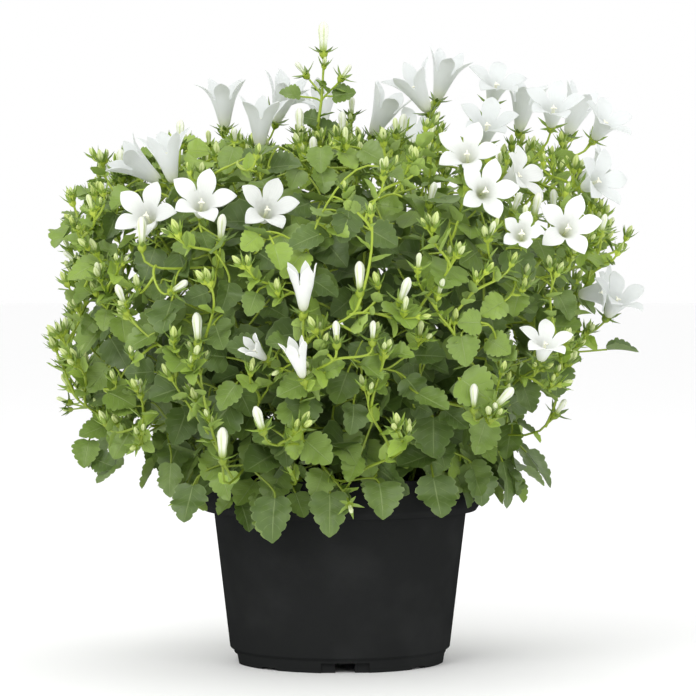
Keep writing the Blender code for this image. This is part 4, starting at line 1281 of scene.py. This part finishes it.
def make_style(length):
    """The style, with the three lobes on top of it."""
    style = turn("style", [(0.5, 0), (0.5, length * 0.5), (0.75, length * 0.75), (0.55, length)], 8)
    parts = [style]
    for k in range(3):
        arm = add(bpy.ops.mesh.primitive_uv_sphere_add, segments=8, ring_count=6, radius=1)
        arm.scale = (0.95, 0.42, 0.4)
        arm.location = (0.7, 0, length)
        settle(arm)
        arm.rotation_euler.z = tau * k / 3
        settle(arm)
        parts.append(arm)
    map_round(join(parts), length)
    return Organ(style, [CREAM])


COROLLAS = {form: make_corolla(form) for form in FORMS}
STYLES = {form: make_style(FORMS[form][0] * 0.95) for form in FORMS}
print("faces of the flowers:", {form: len(organ.sizes) for form, organ in COROLLAS.items()})

# %% [markdown]
# Growing comes in two steps. First the stalks of all flowers and white buds are found, as they were
# for the solids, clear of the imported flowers. Then many more leaves and sprays of green buds fill the
# plant, which the solids leave out. The tallest bud stands on a straight spire of its own.

# %% Growing the flower stalks
SPIRE_ROOT, SPIRE_STRAIGHT, SPIRE_R = Vector((-12, -3, 205)), 30.0, 1.9
SPIRE_LEAVES = [(0.68, -1, 9.5), (0.6, 1, 11.0)]  # two dark leaves on it: how far up, side, length
SPIRE_Z = 235.0  # leaves above this height are the spire's
FORK_BELOW = 8.0  # the two buds beside the spire's leave it this far below them
NECK, HEAD_IN, HEAD_LOW = 14.0, 8.0, 20.0  # a shoot's head keeps this far from the flowers it carries


def packed_flowers():
    """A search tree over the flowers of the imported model, in millimetres."""
    points, faces = [], []
    for name, *_ in BLOOMS:
        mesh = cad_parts["bloom_" + name].data
        first = len(points)
        points += [v.co / MM for v in mesh.vertices]
        faces += [[first + k for k in face.vertices] for face in mesh.polygons]
    return BVHTree.FromPolygons(points, faces)


def grow():
    """The stems of the whole plant, with the stalk of every flower and bud."""
    plant = Plant(packed_flowers())
    wanted = {name: [] for name in plant.crowns}
    for _, place, azimuth, elevation, _ in BLOOMS:
        foot = Vector(place)
        wanted[plant.shoot_for(foot)].append(foot - heading(azimuth, elevation) * NECK)
    for shoot, feet in wanted.items():
        ring, azimuth = plant.rings[shoot]
        if feet:
            head = sum(feet, Vector()) / len(feet) - heading(azimuth, 0) * HEAD_IN - UP * HEAD_LOW
        else:
            radius, height = RINGS[ring][3]
            head = heading(azimuth, 0) * radius + UP * height
        plant.grow_main_stem(shoot, head)
    cups, buds = [], []
    for _, place, azimuth, elevation, _ in BLOOMS:
        foot, axis = Vector(place), heading(azimuth, elevation)
        shoot = plant.shoot_for(foot)
        seat = foot - axis * GAP
        twig = plant.grow_towards(shoot, seat - axis * CUP_LENGTH, axis, TWIG_JOINTS, near_tip=7)
        cups.append((shoot, seat, axis, twig))
    for place, azimuth, elevation, length in BUDS:
        foot, axis = Vector(place), heading(azimuth, elevation)
        shoot = plant.shoot_for(foot)
        twig = plant.grow_towards(shoot, foot - axis * CUP_LENGTH, axis, STALK_JOINTS)
        buds.append((shoot, foot, axis, length, twig))
    return plant, cups, buds


def raise_spire():
    """Stands the tallest bud on a straight stem, and the two buds beside it on short forks of it."""
    shoot, foot, axis, length, _ = buds[0]
    base = foot - axis * CUP_LENGTH
    for *_, twig in buds[:3]:
        plant.lines.remove(twig)
    joints = [p for line in plant.lines if line.shoot == shoot for p in line.points]
    root = min(joints, key=lambda p: (p - SPIRE_ROOT).length)
    spire = Line(shoot, (root, SPIRE_ROOT, base - axis * SPIRE_STRAIGHT, base), TWIG_JOINTS, SPIRE_R, STALK_R)
    buds[0] = (shoot, foot, axis, length, spire)
    places = [bezier(spire.controls, i / 40) for i in range(41)]
    for k in (1, 2):
        _, foot, axis, length, _ = buds[k]
        base = foot - axis * CUP_LENGTH
        fork = min(places, key=lambda p: abs(base.z - FORK_BELOW - p.z))
        way = (fork, fork + UP * 3, base - axis * 3, base)
        buds[k] = (shoot, foot, axis, length, Line(shoot, way, STALK_JOINTS, STALK_R, STALK_R))
    plant.lines += [twig for *_, twig in buds[:3]]


plant, cups, buds = grow()
raise_spire()
print(len(cups), "flower stalks,", len(buds), "bud stalks, without a way:", sum(b[-1] is None for b in buds))

# %% [markdown]
# The flowers, buds and large leaves at the front are what one sees first, so a line of sight to each
# is kept free of all that grows later. It runs along the axis of a flower, so that its mouth stays
# open, and towards the camera.

# %% Lines of sight
FRONT = Vector((0, -1, 0.04))
SIGHT = (1.5, 60.0)  # nothing stands before a flower from here to there
RIPE_BUD = 6.0  # the white buds of the table that are longer are ripe
DARK = 0.15  # front leaves whose tone is less stand further back than the others
BEHIND, DARK_DEEP, BRIGHT_DEEP = 50.0, 18.0, 6.0  # how far inside the envelope front leaves stand


def kept_free():
    """Lines of sight that nothing grows into: middle, direction, radius."""
    for name, place, azimuth, elevation, form in BLOOMS:
        foot, axis = Vector(place), heading(azimuth, elevation)
        tube, throat, lobe, _, lean = FORMS[form]
        open_r = throat + lobe * sin(radians(lean)) * 0.8
        yield foot + axis * (tube + 3), axis, open_r
        # low_d looks out from behind leaves, and so does the tube of low_c
        if not name.startswith("back") and name != "low_d":
            yield foot + axis * tube, FRONT, max(open_r * 0.8, 6.5)
            if name != "low_c":
                yield foot + axis * tube * 0.35, FRONT, 4.0
    for place, azimuth, elevation, length in BUDS:
        foot = Vector(place)
        if foot.y < 30 and length > RIPE_BUD:
            yield foot + heading(azimuth, elevation) * length * 0.6, FRONT, 3.0
    for middle, _, length, _ in front_leaves():
        yield middle, FRONT, 0.32 * length


def front_leaves():
    """The leaves that stand out at the front: middle, way of the tip, length, tone."""
    radii, heights = zip(*ENVELOPE)
    for across, height, tip, length, tone in FRONT_LEAVES:
        deep = BEHIND if height > BEHIND_FLOWERS else DARK_DEEP if tone < DARK else BRIGHT_DEEP
        r = max(np.interp(height, heights[:7], radii[:7]) - deep, 66 if height < 100 else 0)
        y = -max(r * r - across * across, 400) ** 0.5
        nearer = 1 + y / VIEW_DISTANCE
        middle = Vector((across * nearer, y, VIEW_HEIGHT + (height - VIEW_HEIGHT) * nearer))
        yield middle, Vector((sin(radians(tip)), -0.35, cos(radians(tip)))).normalized(), length, tone


free_from, free_way, free_r = (np.array(part) for part in zip(*kept_free()))
print(len(free_r), "lines of sight are kept free")

# %% [markdown]
# A copy of a leaf is folded a little along its rib, its tip hangs, and its edge waves, each by its
# own amount. A bud is turned round its axis at random, and its cup suits its length. What would grow
# out of the box of the solids, or in front of a flower, is left out.

# %% Placing organs
ROOM = 0.4  # everything stays this far inside the box of the solids
SMALLEST_CUP, CUP_GROWTH = 0.42, 0.075
low, high = (np.array(corner) / MM for corner in cad_box)
pieces = {shoot: Piece(shoot.replace("shoot", "foliage")) for shoot in plant.crowns}
draw = random.Random(LEAF_SEED + 1)


def moved(points, matrix):
    """Points taken to their place by a matrix."""
    turned = np.array(matrix.to_3x3())
    return points @ turned.T + np.array(matrix.translation)


def in_box(points):
    """True if points stay inside the box of the solids."""
    return (points > low + ROOM).all() and (points < high - ROOM).all()


def fits(points, sure=False):
    """True if points stay in the box of the solids and hide no flower, which a sure shape may do."""
    if not in_box(points):
        return False
    apart = points[:, None] - free_from
    ahead = (apart * free_way).sum(2)
    near = (apart * apart).sum(2) - ahead * ahead < free_r ** 2
    return sure or not (near & (ahead > SIGHT[0]) & (ahead < SIGHT[1])).any()


def bent_leaf(organ, length):
    """The points of a leaf of some length, bent at random."""
    x, y, z = organ.points.T
    fold, arch, wave = draw.uniform(0.08, 0.5), draw.uniform(-0.08, 0.24), draw.uniform(0.0, 0.1)
    curl = draw.uniform(-0.25, 0.3)
    phase = draw.uniform(0, tau)
    side = abs(x)
    up = z + fold * side - curl * side * side - arch * y * y + wave * np.sin(9 * y + phase) * side * 2
    up = up + 0.03 * np.sin(19 * y + phase * 2) * side
    return np.column_stack([x * draw.uniform(0.86, 1.08), y, up]) * length


def put_leaf(shoot, organ, foot, along, face, length, tone, sure=False):
    """Adds a leaf to the piece of a shoot, if it fits."""
    points = moved(bent_leaf(organ, length), blade_frame(foot, along, face))
    if fits(points, sure):
        pieces[shoot].add(organ, points, tone)
        return True
    return False


def cup_size(length):
    """How large the cup under a bud of some length is."""
    return min(1.0, SMALLEST_CUP + length * CUP_GROWTH)


def stalk_end(foot, axis, length):
    """Where the stalk of a bud of some length ends: a little way up inside its cup."""
    return foot - axis * CUP_LENGTH * cup_size(length) * 0.9


def put_bud(shoot, organ, cup, foot, axis, length, tone):
    """Adds a closed flower of some length in its cup, if both fit."""
    matrix = upright_frame(foot, axis) @ Matrix.Rotation(draw.uniform(0, tau), 4, "Z")
    bud = moved(organ.points * length, matrix)
    green = moved(cup.points * cup_size(length), matrix)
    if fits(bud) and fits(green):
        pieces[shoot].add(organ, bud, tone)
        pieces[shoot].add(cup, green, draw.uniform(0.2, 0.8))
        return True
    return False


print("everything keeps", ROOM, "mm inside the box of the solids")

# %% [markdown]
# Stalks leave the stems at forks, a few millimetres apart. Each takes the fork that it reaches best:
# near, from below, in line with the stem, and not crowded yet. A long stalk is a branch in its turn,
# with forks of its own, so the plant divides more finely towards its outside, as real ones do.

# %% Forks
SLIM = 0.72  # the visible stems are this share of the solids' thickness
FORK_STEP, TRIED_FORKS = 5.0, 12  # how far apart stalks may leave a stem, and how many places are tried
CROWDED = 12.0  # how much farther away a fork seems for each stalk that leaves it already
BRANCHING = 14.0  # others may leave a stalk that is longer than this
SHORT, OTHER_SHOOT = 9.0, 1e4  # what each millimetre too few costs a stalk, and a shoot not asked for
stems = {shoot: [] for shoot in plant.crowns}
for line in plant.lines:
    stems[line.shoot].append(line)


def hides_nothing(line):
    """True if a stem passes no open flower on the side that is looked at."""
    return fits(np.array([bezier(line.controls, k / 8) for k in range(2, 9)]))


class Forks:
    """Places along the stems where a stalk may leave, the way of the stem there, and its shoot."""

    def __init__(self, lines):
        self.places, self.ways = np.empty((0, 3)), np.empty((0, 3))
        self.shoots, self.stalks = np.empty(0), np.empty(0)
        for line in lines:
            self.grow(line)

    def grow(self, line):
        """Adds the places along a line."""
        count = max(3, round((line.points[-1] - line.points[0]).length / FORK_STEP))
        places = np.array([bezier(line.controls, k / count) for k in range(1, count)])
        ways = places - np.array([bezier(line.controls, (k - 0.5) / count) for k in range(1, count)])
        self.places = np.vstack((self.places, places))
        self.ways = np.vstack((self.ways, ways / np.linalg.norm(ways, axis=1)[:, None]))
        self.shoots = np.append(self.shoots, [line.shoot] * len(places))
        self.stalks = np.append(self.stalks, np.zeros(len(places)))


forks = Forks(plant.lines)


def nearest_fork(foot, axis, root_r, joints, least=0.0, shoot=None, sure=False):
    """A stalk to foot from the best of the forks from where it hides no flower, or None.

    It may have to be long, or to come from one shoot. A sure stalk may hide a flower if it must.
    """
    ways = np.array(foot) - forks.places
    lengths = np.linalg.norm(ways, axis=1) + 0.01
    ways = ways / lengths[:, None]
    lean = (ways * (forks.ways * 0.5 + np.array(axis))).sum(1) + 0.3 * ways[:, 2]
    cost = lengths * (2.0 - 0.6 * lean) + SHORT * np.maximum(least - lengths, 0) + CROWDED * forks.stalks
    if shoot:
        cost = cost + OTHER_SHOOT * (forks.shoots != shoot)
    stalks = []
    for k in np.argsort(cost)[:TRIED_FORKS]:
        root, length = Vector(forks.places[k]), lengths[k]
        first = root + (Vector(forks.ways[k]) * 0.6 + Vector(ways[k])).normalized() * length * LEAVING
        way = (root, first, foot - axis * length * ARRIVING, foot)
        stalk = Line(str(forks.shoots[k]), way, joints, root_r, STALK_R)
        if hides_nothing(stalk):
            forks.stalks[k] += 1
            return stalk
        stalks.append(stalk)
    return stalks[0] if sure else None


def keep(stalk):
    """Adds a stalk to the stems of its shoot, and others may leave it if it is long."""
    stems[stalk.shoot].append(stalk)
    if (stalk.points[-1] - stalk.points[0]).length > BRANCHING:
        forks.grow(stalk)


print(len(forks.stalks), "places where a stalk may leave a stem, to begin with")

# %% [markdown]
# The cups of the open flowers, and the white buds in their cups, stand at the ends of the stalks that
# grew first. A bud keeps half a millimetre shorter than its place allows.

# %% Cups and white buds in their places
BUD_SHORTER = 0.5
for shoot, seat, axis, _ in cups:
    pieces[shoot].add(CUP, moved(CUP.points, upright_frame(seat, axis)), draw.uniform(0.1, 0.6))
for shoot, foot, axis, length, twig in buds:
    if twig:
        bud = moved(WHITE_BUD.points * (length - BUD_SHORTER), upright_frame(foot, axis))
        pieces[shoot].add(WHITE_BUD, bud, 1.0 if length > RIPE_BUD else 0.5)
        cup = moved(CUP.points * cup_size(length), upright_frame(foot, axis))
        pieces[shoot].add(CUP, cup, draw.uniform(0.1, 0.6))
print("cups and white buds are on their stalks")

# %% [markdown]
# Leaves keep inside the outline that the photograph shows, which is narrower low down and leaves the
# flowers high on the right standing clear. Their tone goes with their height and depth.

# %% Where leaves grow
YOUNG_Z = 150.0
CUT_SIDE, CUT_Z, CUT_SLOPE = 76.0, 110.0, (0.45, 0.85)  # low on the right the plant is narrower
LOW_Z, LOW_R = 97.0, 77.0  # just above the pot it is narrower all round
BARE_X, BARE_Z, BARE_SLOPE = 42.0, 200.0, 0.4  # high on the right only stems and flowers stand out


def leaf_tone(place, deep=0.0):
    """Leaves are darker low down and deep inside, and fresher near the top and in some clumps.

    The darkening is partly the leaves' age and partly painted shade.
    """
    clump = 0.3 * noise.noise(place * 0.035)
    # lower and deeper leaves get a darker tone: partly age, partly painted shade
    tone = 0.34 + 0.2 * (place.z - YOUNG_Z) / 70 + clump - deep + draw.uniform(-0.35, 0.35)
    return min(1.0, max(0.0, tone))


def in_outline(place):
    """True if a place is inside the plant's outline, which is cut in low down."""
    above = place.z - CUT_Z
    narrow = place.z < LOW_Z and place.xy.length > LOW_R
    return place.x < CUT_SIDE + CUT_SLOPE[above > 0] * above and not narrow


def is_leafy(place):
    """True if leaves grow at a place: inside the outline, and not among the high stems on the right."""
    return in_outline(place) and place.z <= BARE_Z - BARE_SLOPE * (place.x - BARE_X)


print("leaves grow up to", BARE_Z, "mm on the right, and higher on the left")

# %% [markdown]
# The outer leaves lie on the envelope like tiles, facing outwards. The solids hold every fourth of
# them and all those that give the plant its outline. Here the others join them a little deeper and
# turned more freely, and dark leaves behind them close the view into the plant. Their dark tone is
# partly the leaves' age and partly painted shade.

# %% Leaves of the plant
SOLID_STEP = 4  # every fourth place on the envelope holds a leaf of the solids
OTHER_DEPTH, OTHER_SHIFT, OTHER_SIZE = (-3, 8), (-4, 4), (0.55, 0.95)  # of the others on the envelope
INNER_LEAVES, INNER_DEPTH, INNER_LENGTH, PLAIN_DEPTH = 800, (8.0, 48.0), (9, 16), 20
CORE_LEAVES, CORE_R, CORE_Z, CORE_LENGTH = 520, 74.0, (79.0, 190.0), (12, 18)
SKIRT_LEAVES, SKIRT_R, SKIRT_Z, SKIRT_LENGTH = 130, (58.0, 80.0), (76.0, 104.0), (10, 16)
LONG_STALKED, LONG_STALK = 12, 60.0  # the outline leaf on a long stalk, low on the right, and how long


def grow_leaf(organ, foot, along, face, length, tone, sure=False, least=0.0, shoot=None):
    """Grows a leaf on a stalk of its own where neither hides a flower, and tells whether it grew."""
    along = along.normalized()
    stalk = nearest_fork(foot, along, STALK_R, STALK_JOINTS, least, shoot, sure)
    grew = stalk is not None and put_leaf(stalk.shoot, organ, foot, along, face, length, tone, sure)
    if grew:
        keep(stalk)
    return grew


def outer_leaves():
    """Leaves of the outline and the envelope, and those that stand out at the front."""
    for k, (foot, along, face, length) in enumerate(leaf_places()):
        spot = k - len(OUTLINE_LEAVES)
        if abs(foot.x) > 40 and foot.y < 40:
            face = face + FRONT * (0.7 if spot > 0 else 0.2)
        if spot < 0:
            on_spire = foot.z > SPIRE_Z
            shoot = buds[0][0] if on_spire else plant.shoot_for(foot)
            face = FRONT + UP * 0.8 if on_spire else face
            least = LONG_STALK if k == LONG_STALKED else 0.0
            yield LEAF, foot, along, face, length, leaf_tone(foot, 0.25), True, least, shoot
            continue
        if spot % SOLID_STEP:
            out = heading(degrees(atan2(foot.x, -foot.y)), 0)
            foot = foot - out * draw.uniform(*OTHER_DEPTH) + UP * draw.uniform(*OTHER_SHIFT)
            along = along + UP * draw.uniform(-0.2, 0.9) + out * 0.2
            face = face + UP * draw.uniform(0, 1.3)
            length *= draw.uniform(*OTHER_SIZE)
        elif spot:
            length *= 0.9
        if is_leafy(foot):
            yield LEAF, foot, along, face, length, leaf_tone(foot)
    for middle, along, length, tone in front_leaves():
        face = FRONT + Vector([draw.uniform(-0.7, 0.7), 0, draw.uniform(0.1, 1.1)])
        yield LEAF, middle - along * length / 2, along, face, length, tone, True


def inner_leaves():
    """Leaves that stand behind the outer ones, at all depths."""
    for place, _, out, aside, normal in envelope_spots(INNER_LEAVES, 40):
        deep = draw.uniform(*INNER_DEPTH)
        along = (out * 0.6 - UP * draw.uniform(-0.3, 0.7) + aside * draw.uniform(-1, 1)).normalized()
        foot = place - normal * deep - along * 8
        face = normal + UP * draw.uniform(0.2, 1.2) + aside * draw.uniform(-0.6, 0.6)
        if foot.z > POT_H + 8 and is_leafy(foot):
            organ = LEAF if deep < PLAIN_DEPTH else SPARE_LEAF
            # deeper leaves get a darker tone, partly as painted shade
            tone = leaf_tone(foot, 0.1 + 0.25 * deep / INNER_DEPTH[1])
            yield organ, foot, along, face, draw.uniform(*INNER_LENGTH), tone


def core_leaves():
    """Dark leaves near the main stems, their dark tone partly age and partly painted shade."""
    for k in range(CORE_LEAVES):
        out, aside = level_ways(k * GOLDEN_ANGLE)
        foot = out * CORE_R * draw.random() ** 0.5 + UP * draw.uniform(*CORE_Z)
        along = out * draw.uniform(0.2, 1) + UP * draw.uniform(-0.6, 0.8) + aside * draw.uniform(-1, 1)
        face = out + UP * draw.uniform(0.2, 1.4) + aside * draw.uniform(-0.5, 0.5)
        yield SPARE_LEAF, foot, along, face, draw.uniform(*CORE_LENGTH), leaf_tone(foot, 0.25)


def skirt_leaves():
    """Leaves that hang over the pot's rim, fewer at the front on the right, where the rim shows."""
    for k in range(SKIRT_LEAVES):
        out, aside = level_ways(k * GOLDEN_ANGLE)
        foot = out * draw.uniform(*SKIRT_R) + UP * draw.uniform(*SKIRT_Z)
        along = out * 0.5 - UP * draw.uniform(0.3, 1.3) + aside * draw.uniform(-0.7, 0.7)
        face = out + UP * draw.uniform(0.1, 1.0) + aside * draw.uniform(-0.4, 0.4)
        if foot.x < 15 or foot.y > -20 or foot.z > 92:
            yield LEAF, foot, along, face, draw.uniform(*SKIRT_LENGTH), leaf_tone(foot, -0.1)


for leaves in (outer_leaves, inner_leaves, core_leaves, skirt_leaves):
    print(leaves.__name__, sum(grow_leaf(*leaf) for leaf in leaves()))

# %% [markdown]
# Between the leaves stand many thin sprays, each a twig that ends in a green bud, with up to two more
# on short stalks and a few small, narrow, bright leaves. They make the plant's outline bristle. The
# stalks of the open flowers and the white buds carry the same small leaves.

# %% Sprays of green buds
SPRAYS, SPRAY_REACH, SPRAY_SWELL = 660, (-9.0, 3.0), 9.0
LONG_SPRAY, LONG_SHARE = 32.0, 0.12  # some sprays are at least so long
SPARSE_Z = 92.0  # below this height there are half as many
BUD_LENGTH, RIPE_LENGTH = (3.6, 6.8), 6.2  # buds that are longer than this are white ones
SIDE_BUD_LENGTH, YOUNG_LENGTH = (3.2, 5.6), (4.5, 10)
TWIG_LEAVES, STALK_LEAVES, SIDE_BUDS = (3, 5), (2, 4), (0, 2)
TURN_BETWEEN = 137.5  # each leaf of a twig stands this many degrees on from the one below


def dress(line, leaves, knobs, start):
    """Sets small leaves and side buds along a twig."""
    around = draw.uniform(0, 360)
    for k in range(leaves + knobs):
        t = start + (0.95 - start) * (k + draw.uniform(0.2, 0.8)) / (leaves + knobs)
        place = bezier(line.controls, t)
        ahead = (bezier(line.controls, min(t + 0.05, 1)) - bezier(line.controls, t - 0.05)).normalized()
        side = ahead.orthogonal().normalized()
        side.rotate(Quaternion(ahead, radians(around + TURN_BETWEEN * k)))
        if k < leaves:
            along = (side + ahead * draw.uniform(0.2, 0.9) + UP * 0.1).normalized()
            length = draw.uniform(*YOUNG_LENGTH) * (1.25 - 0.5 * t)
            put_leaf(line.shoot, YOUNG_LEAF, place, along, ahead + UP * 0.5, length, draw.uniform(0.5, 1))
        else:
            axis = (side * 0.5 + ahead + UP * 0.2).normalized()
            foot = place + axis * draw.uniform(5, 9)
            length = draw.uniform(*SIDE_BUD_LENGTH)
            if put_bud(line.shoot, KNOB, YOUNG_CUP, foot, axis, length, draw.uniform(0, 0.4)):
                end = stalk_end(foot, axis, length)
                way = (place, place.lerp(end, 0.3) + ahead, place.lerp(end, 0.7), end)
                stems[line.shoot].append(Line(line.shoot, way, 2, STALK_R, STALK_R * 0.8))


def sprays():
    """Grows the sprays and tells how many found a place."""
    count = 0
    for place, _, out, aside, normal in envelope_spots(SPRAYS, 75):
        skipped = place.z < SPARSE_Z and draw.random() < 0.5
        place = place + normal * (draw.uniform(*SPRAY_REACH) + SPRAY_SWELL * noise.noise(place * 0.04))
        axis = (normal * 0.45 + UP * 0.95 + aside * draw.uniform(-0.4, 0.4)).normalized()
        if skipped or not in_outline(place):
            continue
        length = draw.uniform(*BUD_LENGTH)
        ripe = draw.uniform(0, 0.3) if length < RIPE_LENGTH else draw.uniform(0.2, 0.7)
        organ, cup = (KNOB, YOUNG_CUP) if length < RIPE_LENGTH else (WHITE_BUD, SMALL_CUP)
        end = stalk_end(place, axis, length)
        least = LONG_SPRAY if draw.random() < LONG_SHARE else 0.0
        twig = nearest_fork(end, axis, STALK_R * 1.5, TWIG_JOINTS, least)
        if twig and put_bud(twig.shoot, organ, cup, place, axis, length, ripe):
            keep(twig)
            dress(twig, draw.randint(*TWIG_LEAVES), draw.randint(*SIDE_BUDS), 0.4)
            count += 1
    return count


for *_, twig in cups + buds:
    if twig:
        dress(twig, draw.randint(*STALK_LEAVES), draw.randint(*SIDE_BUDS), 0.3)
spire = buds[0][-1]
dress(spire, 4, 1, 0.5)
for share, side, length in SPIRE_LEAVES:
    along = Vector((side, 0.2, 0.3)).normalized()
    put_leaf(spire.shoot, LEAF, bezier(spire.controls, share), along, FRONT + UP * 0.5, length, 0.0, True)
print("sprays:", sprays())

# %% [markdown]
# All stems of a shoot are one curve object with a spline for each stem, which is how one would draw
# them by hand. The bevel gives them their thickness, each point its share of it. The curve is then
# made a mesh, its caps are welded, and it joins the leaves and buds in the piece of its shoot.

# %% Stems
STEM_POINTS, TWIG_POINTS = 14, 8  # how many steps a spline has


def stem_organ(lines):
    """All the stems of a shoot as one organ."""
    curve = bpy.data.curves.new("stems", "CURVE")
    curve.dimensions = "3D"
    curve.bevel_depth = 1.0
    curve.bevel_resolution = 1
    curve.use_fill_caps = True
    for line in lines:
        count = STEM_POINTS if line.root_r >= STEM_R else TWIG_POINTS
        spline = curve.splines.new("POLY")
        spline.points.add(count)
        for k in range(count + 1):
            t = k / count
            spline.points[k].co = (*bezier(line.controls, t), 1)
            spline.points[k].radius = SLIM * (line.root_r + (line.tip_r - line.root_r) * t)
    ob = bpy.data.objects.new("stems", curve)
    bpy.context.scene.collection.objects.link(ob)
    choose(ob)
    bpy.ops.object.convert(target="MESH")
    bpy.ops.object.mode_set(mode="EDIT")
    bpy.ops.mesh.select_all(action="SELECT")
    bpy.ops.mesh.remove_doubles(threshold=0.01)
    bpy.ops.object.mode_set(mode="OBJECT")
    return Organ(ob, [GREEN])


total = 0
for shoot, piece in pieces.items():
    organ = stem_organ(stems[shoot])
    piece.add(organ, organ.points, 0.35)
    ob = piece.build([shoot], "foliage", angle=55)
    triangles = sum(len(face.vertices) - 2 for face in ob.data.polygons)
    total += triangles
    print(ob.name, triangles, "triangles")
print("foliage in all:", total, "triangles")

# %% [markdown]
# Each open flower is its own piece, as it is its own solid. The form of its solid says how far it has
# opened. Every lobe is bent a little otherwise, because no two petals of a real flower lie alike.

# %% Flowers
SMALLER = {"low_a": 0.85, "low_c": 0.85, "low_d": 0.7}  # flowers that are not full-grown yet
# flowers above and beside these get a greyer petal white, as painted shade
PAINTED_SHADE_Z, PAINTED_SHADE_X = 215.0, 95.0  # flowers above and beside these stand clear of the plant, as bells do
LOBE_BEND, LOBE_TWIST = (-0.2, 0.16), (-0.12, 0.12)


def flower(name, place, azimuth, elevation, form):
    """An open flower, its lobes bent and twisted at random, no larger than the solids' box allows."""
    tube, throat, lobe, _, lean = FORMS[form]
    piece = Piece("flower_" + name)
    matrix = upright_frame(Vector(place), heading(azimuth, elevation)) @ Matrix.Rotation(tau / 4, 4, "Z")
    points = COROLLAS[form].points.copy()
    x, y, z = points.T
    r = np.hypot(x, y)
    beyond = np.hypot(np.maximum(r - throat, 0), np.maximum(z - tube, 0)) / lobe
    which = np.round((np.arctan2(y, x) + tau / 4) / (tau / 5)).astype(int) % 5
    bend = np.array([draw.uniform(*LOBE_BEND) for _ in range(5)])[which] * beyond ** 1.6 * lobe
    twist = np.array([draw.uniform(*LOBE_TWIST) for _ in range(5)])[which] * beyond ** 2
    bend = bend + 0.5 * np.sin(9 * beyond + 3 * which) * beyond * 0.35
    a = radians(lean)
    out_x, out_y = x / np.maximum(r, 1e-6), y / np.maximum(r, 1e-6)
    points = np.column_stack([
        x - out_x * bend * cos(a) - out_y * twist * lobe,
        y - out_y * bend * cos(a) + out_x * twist * lobe,
        z + bend * sin(a),
    ])
    size = SMALLER.get(name, 1.0) * draw.uniform(0.95, 1.0)
    while not in_box(moved(points * size, matrix)):
        size -= 0.02
    # bells and flowers that stand clear get tone 0: a greyer white, as painted shade
    clear = form == "bell" or place[2] > PAINTED_SHADE_Z or abs(place[0]) > PAINTED_SHADE_X
    piece.add(COROLLAS[form], moved(points * size, matrix), 0.0 if clear else 1.0)
    piece.add(STYLES[form], moved((STYLES[form].points + np.array([0, 0, 0.8])) * size, matrix))
    return piece.build(["bloom_" + name], "petal", angle=50)


flowers = [flower(*bloom) for bloom in BLOOMS]
print(len(flowers), "flowers of", len(flowers[0].data.polygons), "faces each")

# %% [markdown]
# Last, the box of the finished part is measured and printed. It must not outgrow the box of the
# model.

# %% Measure and finish
visual_box = [list(corner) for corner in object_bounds()]
print("the finished part reaches from", visual_box[0], "to", visual_box[1])
